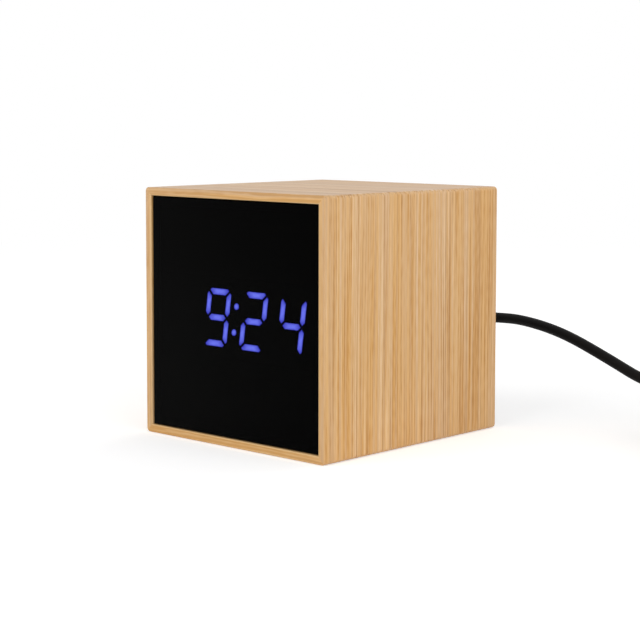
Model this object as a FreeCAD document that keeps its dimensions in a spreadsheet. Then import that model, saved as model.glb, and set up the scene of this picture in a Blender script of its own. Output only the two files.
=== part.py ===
import FreeCAD, Part
import math
import os

import Sketcher

# A small bamboo cube clock: a mitred wooden loop, a tinted front with a four-digit
# display behind it, a rear cover with three buttons, a power socket and a round
# battery door, and a thin power cord that ends in a flat plug.
# +Z is up, the display faces -Y, and the origin is at the middle of the base.

# Driving sizes in millimetres, turns in degrees. The sheet holds them under these names.
SIZES = [
    ("case_width", 60.0),
    ("case_depth", 63.0),
    ("case_height", 60.5),
    ("case_wall", 2.0),
    ("case_corner_radius", 1.0),
    ("case_edge_radius", 0.3),
    ("insert_gap", 0.1),
    ("lens_recess", 0.5),
    ("lens_thickness", 1.0),
    ("lens_edge", 0.2),
    ("tape_thickness", 0.3),
    ("tape_width", 2.2),
    ("frame_thickness", 1.6),
    ("frame_skirt_wall", 1.2),
    ("frame_skirt_depth", 6.0),
    ("window_gap", 0.2),
    ("post_diameter", 5.0),
    ("post_inset", 4.1),
    ("module_side_margin", 2.55),
    ("module_height", 19.0),
    ("module_depth", 8.0),
    ("module_lens_gap", 0.15),
    ("digit_height", 13.9),
    ("digit_width", 8.05),
    ("digit_row_margin", 0.9),
    ("digit_slant", 8.2),
    ("segment_width", 1.5),
    ("segment_gap", 0.55),
    ("segment_corner_cut", 0.9),
    ("segment_depth", 1.0),
    ("colon_diameter", 1.6),
    ("colon_spacing", 6.2),
    ("pin_diameter", 0.5),
    ("pin_pitch", 2.54),
    ("pin_rows_apart", 15.24),
    ("pin_length", 3.4),
    ("pin_hole_diameter", 0.9),
    ("board_thickness", 1.6),
    ("board_standoff", 0.35),
    ("display_board_side_margin", 2.7),
    ("display_board_height", 34.0),
    ("display_screw_from_side", 4.0),
    ("display_screw_from_end", 3.5),
    ("boss_diameter", 4.5),
    ("pilot_diameter", 1.7),
    ("pilot_depth", 6.0),
    ("board_hole_diameter", 2.4),
    ("screw_shank_diameter", 1.6),
    ("screw_shank_length", 7.0),
    ("screw_head_diameter", 3.8),
    ("screw_head_height", 1.1),
    ("screw_cross_width", 0.5),
    ("screw_cross_length", 2.0),
    ("screw_cross_depth", 0.6),
    ("board_screw_length", 5.0),
    ("chip_length", 17.9),
    ("chip_width", 7.5),
    ("chip_thickness", 2.3),
    ("chip_lift", 0.1),
    ("lead_pitch", 1.27),
    ("lead_width", 0.42),
    ("lead_thickness", 0.25),
    ("lead_reach", 1.4),
    ("crystal_diameter", 2.0),
    ("crystal_length", 6.0),
    ("crystal_from_side", 7.0),
    ("crystal_z", -9.0),
    ("capacitor_diameter", 5.0),
    ("capacitor_length", 9.0),
    ("capacitor_from_side", 3.0),
    ("capacitor_z", 7.8),
    ("resistor_length", 2.0),
    ("resistor_width", 1.25),
    ("resistor_height", 0.5),
    ("resistor_pitch", 2.6),
    ("resistor_row_x", -4.0),
    ("resistor_row_z", -12.5),
    ("header_length", 12.4),
    ("header_width", 4.8),
    ("header_height", 6.0),
    ("header_wall", 0.7),
    ("header_depth", 4.6),
    ("display_header_from_side", 11.6),
    ("display_header_z", 8.8),
    ("rear_header_from_side", 12.6),
    ("rear_header_z", 3.0),
    ("wire_diameter", 1.1),
    ("wire_pitch", 2.0),
    ("wire_stub", 5.0),
    ("cover_inset", 1.5),
    ("cover_thickness", 2.0),
    ("cover_edge", 0.3),
    ("cover_skirt_wall", 1.2),
    ("cover_skirt_depth", 5.0),
    ("counterbore_diameter", 4.6),
    ("counterbore_depth", 1.2),
    ("cover_screw_hole", 2.2),
    ("rear_board_side_margin", 2.7),
    ("rear_board_end_margin", 7.45),
    ("rear_screw_from_side", 3.5),
    ("rear_screw_above_coin", 17.5),
    ("low_screw_beside_coin", 14.5),
    ("low_screw_below_coin", 7.0),
    ("rear_board_spacing", 6.0),
    ("button_spacing", 13.0),
    ("button_from_top", 12.15),
    ("button_diameter", 6.8),
    ("button_flange_diameter", 8.4),
    ("button_flange_thickness", 0.7),
    ("button_proud", 0.9),
    ("button_crown", 0.6),
    ("button_gap", 0.2),
    ("button_lash", 0.3),
    ("button_travel", 0.5),
    ("switch_width", 6.0),
    ("switch_height", 3.2),
    ("switch_plate", 0.3),
    ("switch_floor", 2.0),
    ("plunger_diameter", 3.5),
    ("plunger_gap", 0.1),
    ("plunger_overtravel", 0.2),
    ("socket_x", -8.0),
    ("socket_from_bottom", 20.7),
    ("socket_width", 8.0),
    ("socket_length", 10.5),
    ("socket_collar_diameter", 7.4),
    ("socket_collar_gap", 0.2),
    ("socket_bore", 3.6),
    ("socket_bore_depth", 9.2),
    ("socket_pin_diameter", 1.3),
    ("socket_cutout_gap", 0.3),
    ("lug_length", 2.5),
    ("lug_width", 2.2),
    ("lug_thickness", 0.3),
    ("buzzer_from_side", 11.7),
    ("buzzer_from_bottom", 11.7),
    ("buzzer_diameter", 9.0),
    ("buzzer_height", 5.3),
    ("buzzer_port", 1.6),
    ("sound_hole_diameter", 1.2),
    ("sound_hole_pitch", 2.4),
    ("microphone_from_side", 7.7),
    ("microphone_from_bottom", 24.95),
    ("microphone_diameter", 6.0),
    ("microphone_height", 2.7),
    ("microphone_hole", 1.5),
    ("coin_from_side", 14.7),
    ("coin_from_bottom", 17.2),
    ("coin_diameter", 20.0),
    ("coin_thickness", 3.2),
    ("coin_step", 0.6),
    ("coin_gap", 0.2),
    ("holder_width", 22.4),
    ("holder_floor", 0.8),
    ("holder_corner", 3.0),
    ("holder_rim", 0.15),
    ("contact_thickness", 0.25),
    ("contact_width", 4.0),
    ("door_lip_diameter", 26.0),
    ("door_lip_thickness", 0.9),
    ("door_hub_diameter", 22.4),
    ("door_gap", 0.2),
    ("door_ring_wall", 1.0),
    ("door_ring_depth", 1.0),
    ("door_tab_reach", 12.6),
    ("door_tab_width", 5.0),
    ("door_tab_thickness", 0.7),
    ("door_tab_lash", 0.2),
    ("door_edge", 0.25),
    ("door_turn", 60.0),
    ("coin_slot_width", 1.7),
    ("coin_slot_length", 11.0),
    ("coin_slot_depth", 0.8),
    ("cord_diameter", 2.8),
    ("plug_grip_length", 10.0),
    ("plug_grip_diameter", 8.0),
    ("plug_nose_diameter", 6.6),
    ("plug_face_gap", 0.1),
    ("barrel_diameter", 3.5),
    ("barrel_bore", 1.4),
    ("barrel_length", 8.0),
    ("relief_length", 8.0),
    ("relief_start_diameter", 5.2),
    ("relief_end_diameter", 3.5),
    ("relief_groove", 0.35),
    ("lead_leave_run", 8.1),
    ("lead_arrive_run", 12.0),
    ("coil_x", 98.5),
    ("coil_y", 45.0),
    ("coil_mean_diameter", 30.0),
    ("coil_pitch", 3.75),
    ("coil_layer_rise", 3.45),
    ("coil_exit_turn", 75.0),
    ("tie_width", 4.0),
    ("tie_thickness", 0.4),
    ("tie_gap", 0.4),
    ("tie_angle", 215.0),
    ("tail_run", 6.0),
    ("usb_relief_length", 8.0),
    ("usb_body_length", 20.0),
    ("usb_body_width", 15.6),
    ("usb_body_height", 7.6),
    ("usb_body_edge", 1.6),
    ("usb_shell_length", 18.75),
    ("usb_shell_width", 12.0),
    ("usb_shell_height", 4.5),
    ("usb_shell_wall", 0.3),
    ("usb_shell_seat", 3.0),
    ("usb_window_width", 2.5),
    ("usb_window_gap", 2.0),
    ("usb_window_from_tip", 7.0),
    ("usb_tongue_height", 1.9),
    ("usb_tongue_length", 17.5),
    ("usb_contact_width", 1.0),
    ("usb_contact_pitch", 2.2),
    ("usb_contact_length", 7.5),
    ("usb_contact_thickness", 0.2),
]

# Counts that a pattern is made from.
PINS_PER_ROW = 6
CHIP_LEADS_PER_SIDE = 14
RESISTORS = 8
HARNESS_WIRES = 5
SOUND_HOLES = 6
DOOR_TABS = 3
RELIEF_RIBS = 4
COIL_LAYERS = 4
COIL_WHOLE_TURNS = 9

# The time shown: a blank, then 9:24. Each digit lists its lit segments, where a is
# the top one, b to f follow clockwise and g is the middle one.
SHOWN_DIGITS = ["", "abcdfg", "abdeg", "bcfg"]

# The cord's free stretch from the power plug to the top of the coil, in millimetres.
# The two points at each end come from the plug and the coil.
LEAD_POINTS = [
    (-3.8, 63.2, 22.4),
    (3.4, 67.0, 22.3),
    (12.8, 66.2, 22.6),
    (27.0, 64.5, 20.6),
    (41.0, 63.7, 15.6),
    (55.0, 63.3, 9.8),
    (69.0, 62.7, 9.6),
]

VEC = FreeCAD.Vector
doc = FreeCAD.newDocument("led_cube_clock")
sheet = doc.addObject("Spreadsheet::Sheet", "dims")
nodes = []


class Size:
    """A size that knows its formula in the sheet's names and its value now."""

    def __init__(self, formula, value):
        self.formula = formula
        self.value = value

    @staticmethod
    def of(number):
        if isinstance(number, Size):
            return number
        return Size(f"{float(number):.10g}", float(number))

    def joined(self, sign, other, value):
        return Size(f"({self.formula} {sign} {other.formula})", value)

    def __add__(self, other):
        other = Size.of(other)
        return self.joined("+", other, self.value + other.value)

    def __radd__(self, other):
        return Size.of(other) + self

    def __sub__(self, other):
        other = Size.of(other)
        return self.joined("-", other, self.value - other.value)

    def __rsub__(self, other):
        return Size.of(other) - self

    def __mul__(self, other):
        other = Size.of(other)
        return self.joined("*", other, self.value * other.value)

    def __rmul__(self, other):
        return Size.of(other) * self

    def __truediv__(self, other):
        other = Size.of(other)
        return self.joined("/", other, self.value / other.value)

    def __neg__(self):
        return Size(f"(0 - {self.formula})", -self.value)

    def __float__(self):
        return self.value


class Sizes:
    """The sheet's sizes, each under its own name."""


def fill_sheet():
    """Writes the driving sizes into the sheet and returns them by name."""
    for row, (name, number) in enumerate(SIZES, start=1):
        sheet.set(f"A{row}", name)
        sheet.set(f"B{row}", str(number))
        sheet.setAlias(f"B{row}", name)
    doc.recompute()
    found = Sizes()
    for name, _ in SIZES:
        setattr(found, name, Size(f"dims.{name}", float(getattr(sheet, name))))
    return found


s = fill_sheet()


# General helpers

def bind(thing, **sizes):
    """Ties properties of an object to formulas of the sheet."""
    for name, size in sizes.items():
        thing.setExpression(name, Size.of(size).formula)


def place(thing, x=0, y=0, z=0, turn=None):
    """Puts an object at a point whose coordinates follow the sheet."""
    spot = VEC(float(x), float(y), float(z))
    thing.Placement = FreeCAD.Placement(spot, turn or FreeCAD.Rotation())
    for axis, size in zip("xyz", (x, y, z)):
        if isinstance(size, Size):
            thing.setExpression(f"Placement.Base.{axis}", size.formula)


def node(thing, name):
    """Names a sub-part and keeps it for the files."""
    thing.Label = name
    nodes.append(thing)
    return thing


def turned(axis, degrees):
    return FreeCAD.Rotation(VEC(*axis), degrees)


ALONG_Y = FreeCAD.Rotation(VEC(0, 0, 1), VEC(0, 1, 0))
ALONG_X = FreeCAD.Rotation(VEC(0, 0, 1), VEC(1, 0, 0))


class Piece:
    """A sub-part made of sketches and features, drawn in its own frame.

    Sketches lie across Y at a stated depth, with their axes along X and Z.
    """

    def __init__(self, name, x=0, y=0, z=0, turn=None):
        self.body = node(doc.addObject("PartDesign::Body", name), name)
        place(self.body, x, y, z, turn)
        self.made = 0

    def fresh(self, kind, word):
        self.made += 1
        return self.body.newObject(kind, f"{self.body.Name}_{word}_{self.made}")

    def sketch(self, depth=0):
        """An empty sketch across Y, at that depth from the piece's own origin."""
        drawing = self.fresh("Sketcher::SketchObject", "sketch")
        plane = [f for f in self.body.Origin.OriginFeatures if f.Role == "XZ_Plane"]
        drawing.AttachmentSupport = [(plane[0], "")]
        drawing.MapMode = "FlatFace"
        drawing.setExpression("AttachmentOffset.Base.z", Size.of(0 - Size.of(depth)).formula)
        return drawing

    def finish(self, feature):
        doc.recompute()
        if "Invalid" in feature.State or feature.Shape.isNull():
            raise RuntimeError(f"{feature.Name} failed")

    def pad(self, drawing, length, inward=1):
        """Grows the sketch along +Y where inward is 1, and along -Y where it is -1."""
        feature = self.fresh("PartDesign::Pad", "pad")
        feature.Profile = drawing
        feature.Reversed = inward > 0
        bind(feature, Length=length)
        self.finish(feature)

    def pocket(self, drawing, length, inward=1):
        """Cuts the sketch along +Y where inward is 1, and along -Y where it is -1."""
        before = self.body.Shape.Volume
        feature = self.fresh("PartDesign::Pocket", "pocket")
        feature.Profile = drawing
        feature.Reversed = inward < 0
        bind(feature, Length=length)
        self.finish(feature)
        if self.body.Shape.Volume > before - 1e-6:
            raise RuntimeError(f"{feature.Name} cuts nothing")

    def ease(self, kind, size, wanted):
        """Rounds (Fillet) or bevels (Chamfer) the edges for which wanted(edge) is true."""
        tip = self.body.Tip
        names = [f"Edge{i}" for i, e in enumerate(tip.Shape.Edges, start=1) if wanted(e)]
        feature = self.fresh(f"PartDesign::{kind}", kind.lower())
        feature.Base = (tip, names)
        bind(feature, **{"Radius" if kind == "Fillet" else "Size": size})
        self.finish(feature)


def flat_at(depth):
    """A test for edges that lie wholly at one depth along Y in the piece's frame."""
    def test(edge):
        box = edge.BoundBox
        return abs(box.YMin - float(depth)) < 1e-4 and abs(box.YMax - float(depth)) < 1e-4
    return test


def fix_point(drawing, item, end, x, z):
    """Holds a point of a sketch at (x, z) from the sketch's origin."""
    for kind, size in (("DistanceX", x), ("DistanceY", z)):
        size = Size.of(size)
        rule = Sketcher.Constraint(kind, -1, 1, item, end, size.value)
        drawing.setExpression(f"Constraints[{drawing.addConstraint(rule)}]", size.formula)


def polygon(drawing, corners):
    """A closed outline of straight lines through corners whose places follow the sheet."""
    start = drawing.GeometryCount
    spots = [VEC(float(x), float(z), 0) for x, z in corners]
    count = len(spots)
    for i in range(count):
        drawing.addGeometry(Part.LineSegment(spots[i], spots[(i + 1) % count]))
    for i in range(count):
        next_line = start + (i + 1) % count
        drawing.addConstraint(Sketcher.Constraint("Coincident", start + i, 2, next_line, 1))
    for i, (x, z) in enumerate(corners):
        fix_point(drawing, start + i, 1, x, z)


def rectangle(drawing, width, height, x=0, z=0):
    """A rectangle about (x, z), held at two opposite corners."""
    start = drawing.GeometryCount
    low = (x - width / 2, z - height / 2)
    high = (x + width / 2, z + height / 2)
    corners = [low, (high[0], low[1]), high, (low[0], high[1])]
    spots = [VEC(float(a), float(b), 0) for a, b in corners]
    for i in range(4):
        drawing.addGeometry(Part.LineSegment(spots[i], spots[(i + 1) % 4]))
    for i in range(4):
        next_line = start + (i + 1) % 4
        drawing.addConstraint(Sketcher.Constraint("Coincident", start + i, 2, next_line, 1))
        drawing.addConstraint(Sketcher.Constraint("Vertical" if i % 2 else "Horizontal", start + i))
    fix_point(drawing, start, 1, *low)
    fix_point(drawing, start + 2, 1, *high)


def circle(drawing, diameter, x=0, z=0):
    """A circle about (x, z)."""
    radius = Size.of(diameter) / 2
    round_line = Part.Circle(VEC(float(x), float(z), 0), VEC(0, 0, 1), radius.value)
    item = drawing.addGeometry(round_line)
    rule = Sketcher.Constraint("Radius", item, radius.value)
    drawing.setExpression(f"Constraints[{drawing.addConstraint(rule)}]", radius.formula)
    fix_point(drawing, item, 3, x, z)


def turned_rectangle(drawing, near, far, width, degrees, x, z):
    """A rectangle that runs out from (x, z) between two distances, at an angle."""
    across = (math.cos(math.radians(degrees)), math.sin(math.radians(degrees)))
    corners = []
    for reach, side in ((near, -1), (far, -1), (far, 1), (near, 1)):
        half = side * width / 2
        corners.append((x + across[0] * reach - across[1] * half, z + across[1] * reach + across[0] * half))
    polygon(drawing, corners)


def block(name, x, y, z, length, depth, height):
    """A box from its lowest corner and its size along X, Y and Z."""
    made = doc.addObject("Part::Box", name)
    bind(made, Length=length, Width=depth, Height=height)
    place(made, x, y, z)
    return made


def rod(name, diameter, length, x, y, z, turn=ALONG_Y):
    """A round bar that starts at a point, along Y unless it is turned."""
    made = doc.addObject("Part::Cylinder", name)
    bind(made, Radius=Size.of(diameter) / 2, Height=length)
    place(made, x, y, z, turn)
    return made


def taper(name, start, end, length, x, y, z, turn=ALONG_Y):
    """A round bar whose diameter changes from start to end."""
    made = doc.addObject("Part::Cone", name)
    bind(made, Radius1=Size.of(start) / 2, Radius2=Size.of(end) / 2, Height=length)
    place(made, x, y, z, turn)
    return made


def group(name, things):
    """Several separate solids as one object."""
    made = doc.addObject("Part::Compound", name)
    made.Links = things
    return made


def fuse(name, things):
    made = doc.addObject("Part::MultiFuse", name)
    made.Shapes = things
    return made


def cut(name, base, tools):
    """The base without the tools."""
    made = doc.addObject("Part::Cut", name)
    made.Base = base
    made.Tool = tools[0] if len(tools) == 1 else group(f"{name}_tools", tools)
    return made


def shaped(name, shape, turn=None, x=0, y=0, z=0):
    """An object whose shape is worked out here from the sheet's sizes."""
    made = doc.addObject("Part::Feature", name)
    made.Shape = shape
    place(made, x, y, z, turn)
    return made


def copies(name, pattern, spots):
    """A group of equal solids, one at each spot."""
    doc.recompute()
    solids = []
    for x, y, z in spots:
        solid = pattern.Shape.copy()
        solid.translate(VEC(float(x), float(y), float(z)))
        solids.append(solid)
    return shaped(name, Part.makeCompound(solids))


# Depths along Y and sizes that several sub-parts share

case_front = -s.case_depth / 2
case_back = s.case_depth / 2
middle = s.case_height / 2
insert_width = s.case_width - 2 * s.case_wall - 2 * s.insert_gap
insert_height = s.case_height - 2 * s.case_wall - 2 * s.insert_gap
lens_front = case_front + s.lens_recess
lens_back = lens_front + s.lens_thickness
frame_front = lens_back + s.tape_thickness
frame_back = frame_front + s.frame_thickness
module_front = lens_back + s.module_lens_gap
module_back = module_front + s.module_depth
display_board_front = module_back + s.board_standoff
display_board_back = display_board_front + s.board_thickness
cover_back = case_back - s.cover_inset
cover_front = cover_back - s.cover_thickness
rear_board_back = cover_front - s.rear_board_spacing
rear_board_front = rear_board_back - s.board_thickness
post_x = insert_width / 2 - s.post_inset
post_z = insert_height / 2 - s.post_inset
FOUR_CORNERS = [(-1, -1), (1, -1), (1, 1), (-1, 1)]

# Where things stand across the clock: X from its middle, Z from the middle of its height

half_width = insert_width / 2
half_height = insert_height / 2
module_width = insert_width - 2 * s.module_side_margin
digit_pitch = (module_width - 2 * s.digit_row_margin) / 4
display_board_width = insert_width - 2 * s.display_board_side_margin
display_screw_x = display_board_width / 2 - s.display_screw_from_side
display_screw_z = s.display_board_height / 2 - s.display_screw_from_end
capacitor_x = s.capacitor_from_side - display_board_width / 2
crystal_x = s.crystal_from_side - display_board_width / 2
display_header_x = display_board_width / 2 - s.display_header_from_side
rear_board_width = insert_width - 2 * s.rear_board_side_margin
rear_board_height = insert_height - 2 * s.rear_board_end_margin
rear_header_x = rear_board_width / 2 - s.rear_header_from_side
button_z = half_height - s.button_from_top
socket_z = s.socket_from_bottom - half_height
buzzer_x = s.buzzer_from_side - half_width
buzzer_z = s.buzzer_from_bottom - half_height
microphone_x = s.microphone_from_side - half_width
microphone_z = s.microphone_from_bottom - half_height
coin_x = half_width - s.coin_from_side
coin_z = s.coin_from_bottom - half_height
rear_screw_x = rear_board_width / 2 - s.rear_screw_from_side
rear_screw_z = coin_z + s.rear_screw_above_coin
REAR_BOARD_SCREWS = [
    (-rear_screw_x, rear_screw_z),
    (rear_screw_x, rear_screw_z),
    (coin_x - s.low_screw_beside_coin, coin_z - s.low_screw_below_coin),
]
BUTTONS = [("set", -1), ("down", 0), ("up", 1)]


# Wooden case

def case_panel(name, length, x, z, degrees):
    """A mitred board along Y. Its outer face is drawn upwards and then turned outwards."""
    piece = Piece(name, x, case_front, z, turned((0, 1, 0), degrees))
    half = length / 2
    radius = s.case_corner_radius
    wall = s.case_wall
    cut_back = 1 - math.sqrt(0.5)
    flat_end = half - radius
    tip = (half - cut_back * radius, -cut_back * radius)
    inner = (half - wall, -wall)
    corners = [(-flat_end, 0), (flat_end, 0), tip, inner, (-inner[0], inner[1]), (-tip[0], tip[1])]
    drawing = piece.sketch()
    spots = [VEC(float(a), float(b), 0) for a, b in corners]
    centre = VEC(float(flat_end), float(-radius), 0)
    arc = Part.Circle(centre, VEC(0, 0, 1), float(radius))
    mirrored = Part.Circle(VEC(-centre.x, centre.y, 0), VEC(0, 0, 1), float(radius))
    drawing.addGeometry(Part.LineSegment(spots[0], spots[1]))
    drawing.addGeometry(Part.ArcOfCircle(arc, math.pi / 4, math.pi / 2))
    drawing.addGeometry(Part.LineSegment(spots[2], spots[3]))
    drawing.addGeometry(Part.LineSegment(spots[3], spots[4]))
    drawing.addGeometry(Part.LineSegment(spots[4], spots[5]))
    drawing.addGeometry(Part.ArcOfCircle(mirrored, math.pi / 2, math.pi * 3 / 4))
    for first, end, second, start in ((0, 2, 1, 2), (1, 1, 2, 1), (2, 2, 3, 1), (3, 2, 4, 1), (4, 2, 5, 2), (5, 1, 0, 1)):
        drawing.addConstraint(Sketcher.Constraint("Coincident", first, end, second, start))
    for item, end, (a, b) in ((0, 1, corners[0]), (0, 2, corners[1]), (2, 1, corners[2]),
                              (3, 1, corners[3]), (3, 2, corners[4]), (4, 2, corners[5])):
        fix_point(drawing, item, end, a, b)
    for item in (1, 5):
        rule = Sketcher.Constraint("Radius", item, float(radius))
        drawing.setExpression(f"Constraints[{drawing.addConstraint(rule)}]", radius.formula)
    piece.pad(drawing, s.case_depth)

    def end_outline(edge):
        box = edge.BoundBox
        at_end = flat_at(0)(edge) or flat_at(s.case_depth)(edge)
        level = abs(box.ZMax - box.ZMin) < 1e-4
        return at_end and (level or edge.Curve.TypeId == "Part::GeomCircle")

    piece.ease("Fillet", s.case_edge_radius, end_outline)


def wooden_case():
    """Four boards folded round the clock, open at the front and the back."""
    case_panel("case_top", s.case_width, 0, s.case_height, 0)
    case_panel("case_bottom", s.case_width, 0, 0, 180)
    case_panel("case_right", s.case_height, s.case_width / 2, middle, 90)
    case_panel("case_left", s.case_height, -s.case_width / 2, middle, -90)


# Front of the clock

def front_lens():
    """The tinted front panel, set back a little inside the wooden loop."""
    piece = Piece("front_lens", 0, lens_front, middle)
    drawing = piece.sketch()
    rectangle(drawing, insert_width, insert_height)
    piece.pad(drawing, s.lens_thickness)
    piece.ease("Chamfer", s.lens_edge, flat_at(0))


def lens_tape():
    """The sticky frame that holds the lens to the inner frame."""
    piece = Piece("lens_tape", 0, lens_back, middle)
    drawing = piece.sketch()
    rectangle(drawing, insert_width, insert_height)
    rectangle(drawing, insert_width - 2 * s.tape_width, insert_height - 2 * s.tape_width)
    piece.pad(drawing, s.tape_thickness)


def inner_frame():
    """The plastic frame behind the lens, with four long posts for the rear cover."""
    piece = Piece("inner_frame", 0, frame_front, middle)
    back = s.frame_thickness
    post_length = cover_front - frame_back
    boss_length = display_board_front - frame_back
    plate = piece.sketch()
    rectangle(plate, insert_width, insert_height)
    piece.pad(plate, back)
    window = piece.sketch()
    rectangle(window, module_width + 2 * s.window_gap, s.module_height + 2 * s.window_gap)
    piece.pocket(window, back)
    skirt = piece.sketch(back)
    rectangle(skirt, insert_width, insert_height)
    rectangle(skirt, insert_width - 2 * s.frame_skirt_wall, insert_height - 2 * s.frame_skirt_wall)
    piece.pad(skirt, s.frame_skirt_depth)
    posts = piece.sketch(back)
    bosses = piece.sketch(back)
    post_pilots = piece.sketch(back + post_length)
    boss_pilots = piece.sketch(back + boss_length)
    for right, up in FOUR_CORNERS:
        circle(posts, s.post_diameter, right * post_x, up * post_z)
        circle(bosses, s.boss_diameter, right * display_screw_x, up * display_screw_z)
        circle(post_pilots, s.pilot_diameter, right * post_x, up * post_z)
        circle(boss_pilots, s.pilot_diameter, right * display_screw_x, up * display_screw_z)
    piece.pad(posts, post_length)
    piece.pad(bosses, boss_length)
    piece.pocket(post_pilots, s.pilot_depth + 2, inward=-1)
    piece.pocket(boss_pilots, s.pilot_depth, inward=-1)


# Display

def segment_outlines():
    """The seven segments of a digit that stands upright about the origin, by letter."""
    w = s.digit_width.value / 2
    h = s.digit_height.value / 2
    t = s.segment_width.value
    mitre = s.segment_gap.value / math.sqrt(2)
    half = t / 2
    cut = s.segment_corner_cut.value
    top = [
        (mitre - w + cut, h),
        (w - mitre - cut, h),
        (w - mitre - cut / 2, h - cut / 2),
        (w - mitre - t, h - t),
        (mitre + t - w, h - t),
        (mitre - w + cut / 2, h - cut / 2),
    ]
    side = [
        (w, h - mitre - cut),
        (w - cut / 2, h - mitre - cut / 2),
        (w - t, h - mitre - t),
        (w - t, mitre + half),
        (w - half, mitre),
        (w, mitre + half),
    ]
    bar = w - half - mitre
    middle_bar = [(-bar, 0), (half - bar, half), (bar - half, half), (bar, 0), (bar - half, -half), (half - bar, -half)]

    def flipped(outline, x, z):
        return [(x * a, z * b) for a, b in outline]

    return {
        "a": top,
        "b": side,
        "c": flipped(side, 1, -1),
        "d": flipped(top, 1, -1),
        "e": flipped(side, -1, -1),
        "f": flipped(side, -1, 1),
        "g": middle_bar,
    }


def prism(outline, x):
    """A segment's solid: its outline leans with the digit and runs back from the module's face."""
    lean = math.tan(math.radians(s.digit_slant.value))
    face = module_front.value
    height = middle.value
    corners = [VEC(x + a + b * lean, face, height + b) for a, b in outline]
    wire = Part.makePolygon(corners + corners[:1])
    return Part.Face(wire).extrude(VEC(0, s.segment_depth.value, 0))


def colon_dots():
    """The two round dots between the hours and the minutes."""
    lean = math.tan(math.radians(s.digit_slant.value))
    dots = []
    for side in (-0.5, 0.5):
        b = side * s.colon_spacing.value
        spot = VEC(b * lean, module_front.value, middle.value + b)
        radius = s.colon_diameter.value / 2
        dots.append(Part.makeCylinder(radius, s.segment_depth.value, spot, VEC(0, 1, 0)))
    return dots


def display_module():
    """The four-digit display: its housing, lit and unlit segments, colon and pins."""
    outlines = segment_outlines()
    lit = []
    dark = []
    for place_number, shown in enumerate(SHOWN_DIGITS):
        x = (place_number - 1.5) * digit_pitch.value
        for letter, outline in outlines.items():
            (lit if letter in shown else dark).append(prism(outline, x))
    dots = colon_dots()
    wells = shaped("segment_wells", Part.makeCompound(lit + dark + dots))
    width = module_width
    height = s.module_height
    blank = block("module_blank", -width / 2, module_front, middle - height / 2, width, s.module_depth, height)
    node(cut("display_housing", blank, [wells]), "display_housing")
    node(shaped("lit_segments", Part.makeCompound(lit)), "lit_segments")
    node(shaped("dark_segments", Part.makeCompound(dark)), "dark_segments")
    node(shaped("colon_dots", Part.makeCompound(dots)), "colon_dots")


def pin_spots():
    """Where the display's pins stand, as (x, z) from the module's middle."""
    spots = []
    for i in range(PINS_PER_ROW):
        x = (i - (PINS_PER_ROW - 1) / 2) * s.pin_pitch
        spots += [(x, -s.pin_rows_apart / 2), (x, s.pin_rows_apart / 2)]
    return spots


def display_pins():
    """The module's wire pins, which pass through the display board."""
    pins = []
    for number, (x, z) in enumerate(pin_spots()):
        pins.append(rod(f"pin_{number}", s.pin_diameter, s.pin_length, x, module_back, middle + z))
    node(group("display_pins", pins), "display_pins")


def display_board():
    """The circuit board behind the display."""
    piece = Piece("display_board", 0, display_board_front, middle)
    outline = piece.sketch()
    rectangle(outline, display_board_width, s.display_board_height)
    piece.pad(outline, s.board_thickness)
    holes = piece.sketch()
    for right, up in FOUR_CORNERS:
        circle(holes, s.board_hole_diameter, right * display_screw_x, up * display_screw_z)
    for x, z in pin_spots():
        circle(holes, s.pin_hole_diameter, x, z)
    piece.pocket(holes, s.board_thickness)


# Parts on the display board

def controller():
    """The clock chip: a moulded body with a row of bent leads on each long side."""
    face = display_board_back + s.chip_lift
    body = block("controller_body", -s.chip_length / 2, face, middle - s.chip_width / 2,
                 s.chip_length, s.chip_thickness, s.chip_width)
    node(body, "controller_chip")
    reach = s.lead_reach.value
    thick = s.lead_thickness.value
    rise = s.chip_lift.value + s.chip_thickness.value / 2
    half = s.chip_width.value / 2
    bend = reach * 0.4
    profile = [(0, rise), (bend, rise), (bend, thick), (reach, thick), (reach, 0),
               (bend - thick, 0), (bend - thick, rise - thick), (0, rise - thick)]
    leads = []
    for side in (-1, 1):
        for i in range(CHIP_LEADS_PER_SIDE):
            x = (i - (CHIP_LEADS_PER_SIDE - 1) / 2) * s.lead_pitch.value - s.lead_width.value / 2
            corners = []
            for out, up in profile:
                z = middle.value + side * (half + out)
                corners.append(VEC(x, display_board_back.value + up, z))
            face_shape = Part.Face(Part.makePolygon(corners + corners[:1]))
            leads.append(face_shape.extrude(VEC(s.lead_width.value, 0, 0)))
    node(shaped("controller_leads", Part.makeCompound(leads)), "controller_leads")


def small_parts():
    """The crystal, the capacitor and a row of chip resistors on the display board."""
    board = display_board_back
    node(rod("crystal", s.crystal_diameter, s.crystal_length, crystal_x, board + s.crystal_diameter / 2,
             middle + s.crystal_z, ALONG_X), "crystal")
    can = rod("capacitor_can", s.capacitor_diameter, s.capacitor_length, capacitor_x,
              board + s.capacitor_diameter / 2, middle + s.capacitor_z, ALONG_X)
    neck = doc.addObject("Part::Torus", "capacitor_neck")
    bind(neck, Radius1=s.capacitor_diameter / 2 + 0.15, Radius2=0.35)
    place(neck, capacitor_x + s.capacitor_length - 1.2, board + s.capacitor_diameter / 2,
          middle + s.capacitor_z, ALONG_X)
    node(cut("capacitor", can, [neck]), "capacitor")
    row = []
    for i in range(RESISTORS):
        x = s.resistor_row_x + (i - (RESISTORS - 1) / 2) * s.resistor_pitch - s.resistor_width / 2
        row.append(block(f"resistor_{i}", x, board, middle + s.resistor_row_z - s.resistor_length / 2,
                         s.resistor_width, s.resistor_height, s.resistor_length))
    node(group("chip_resistors", row), "chip_resistors")


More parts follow.
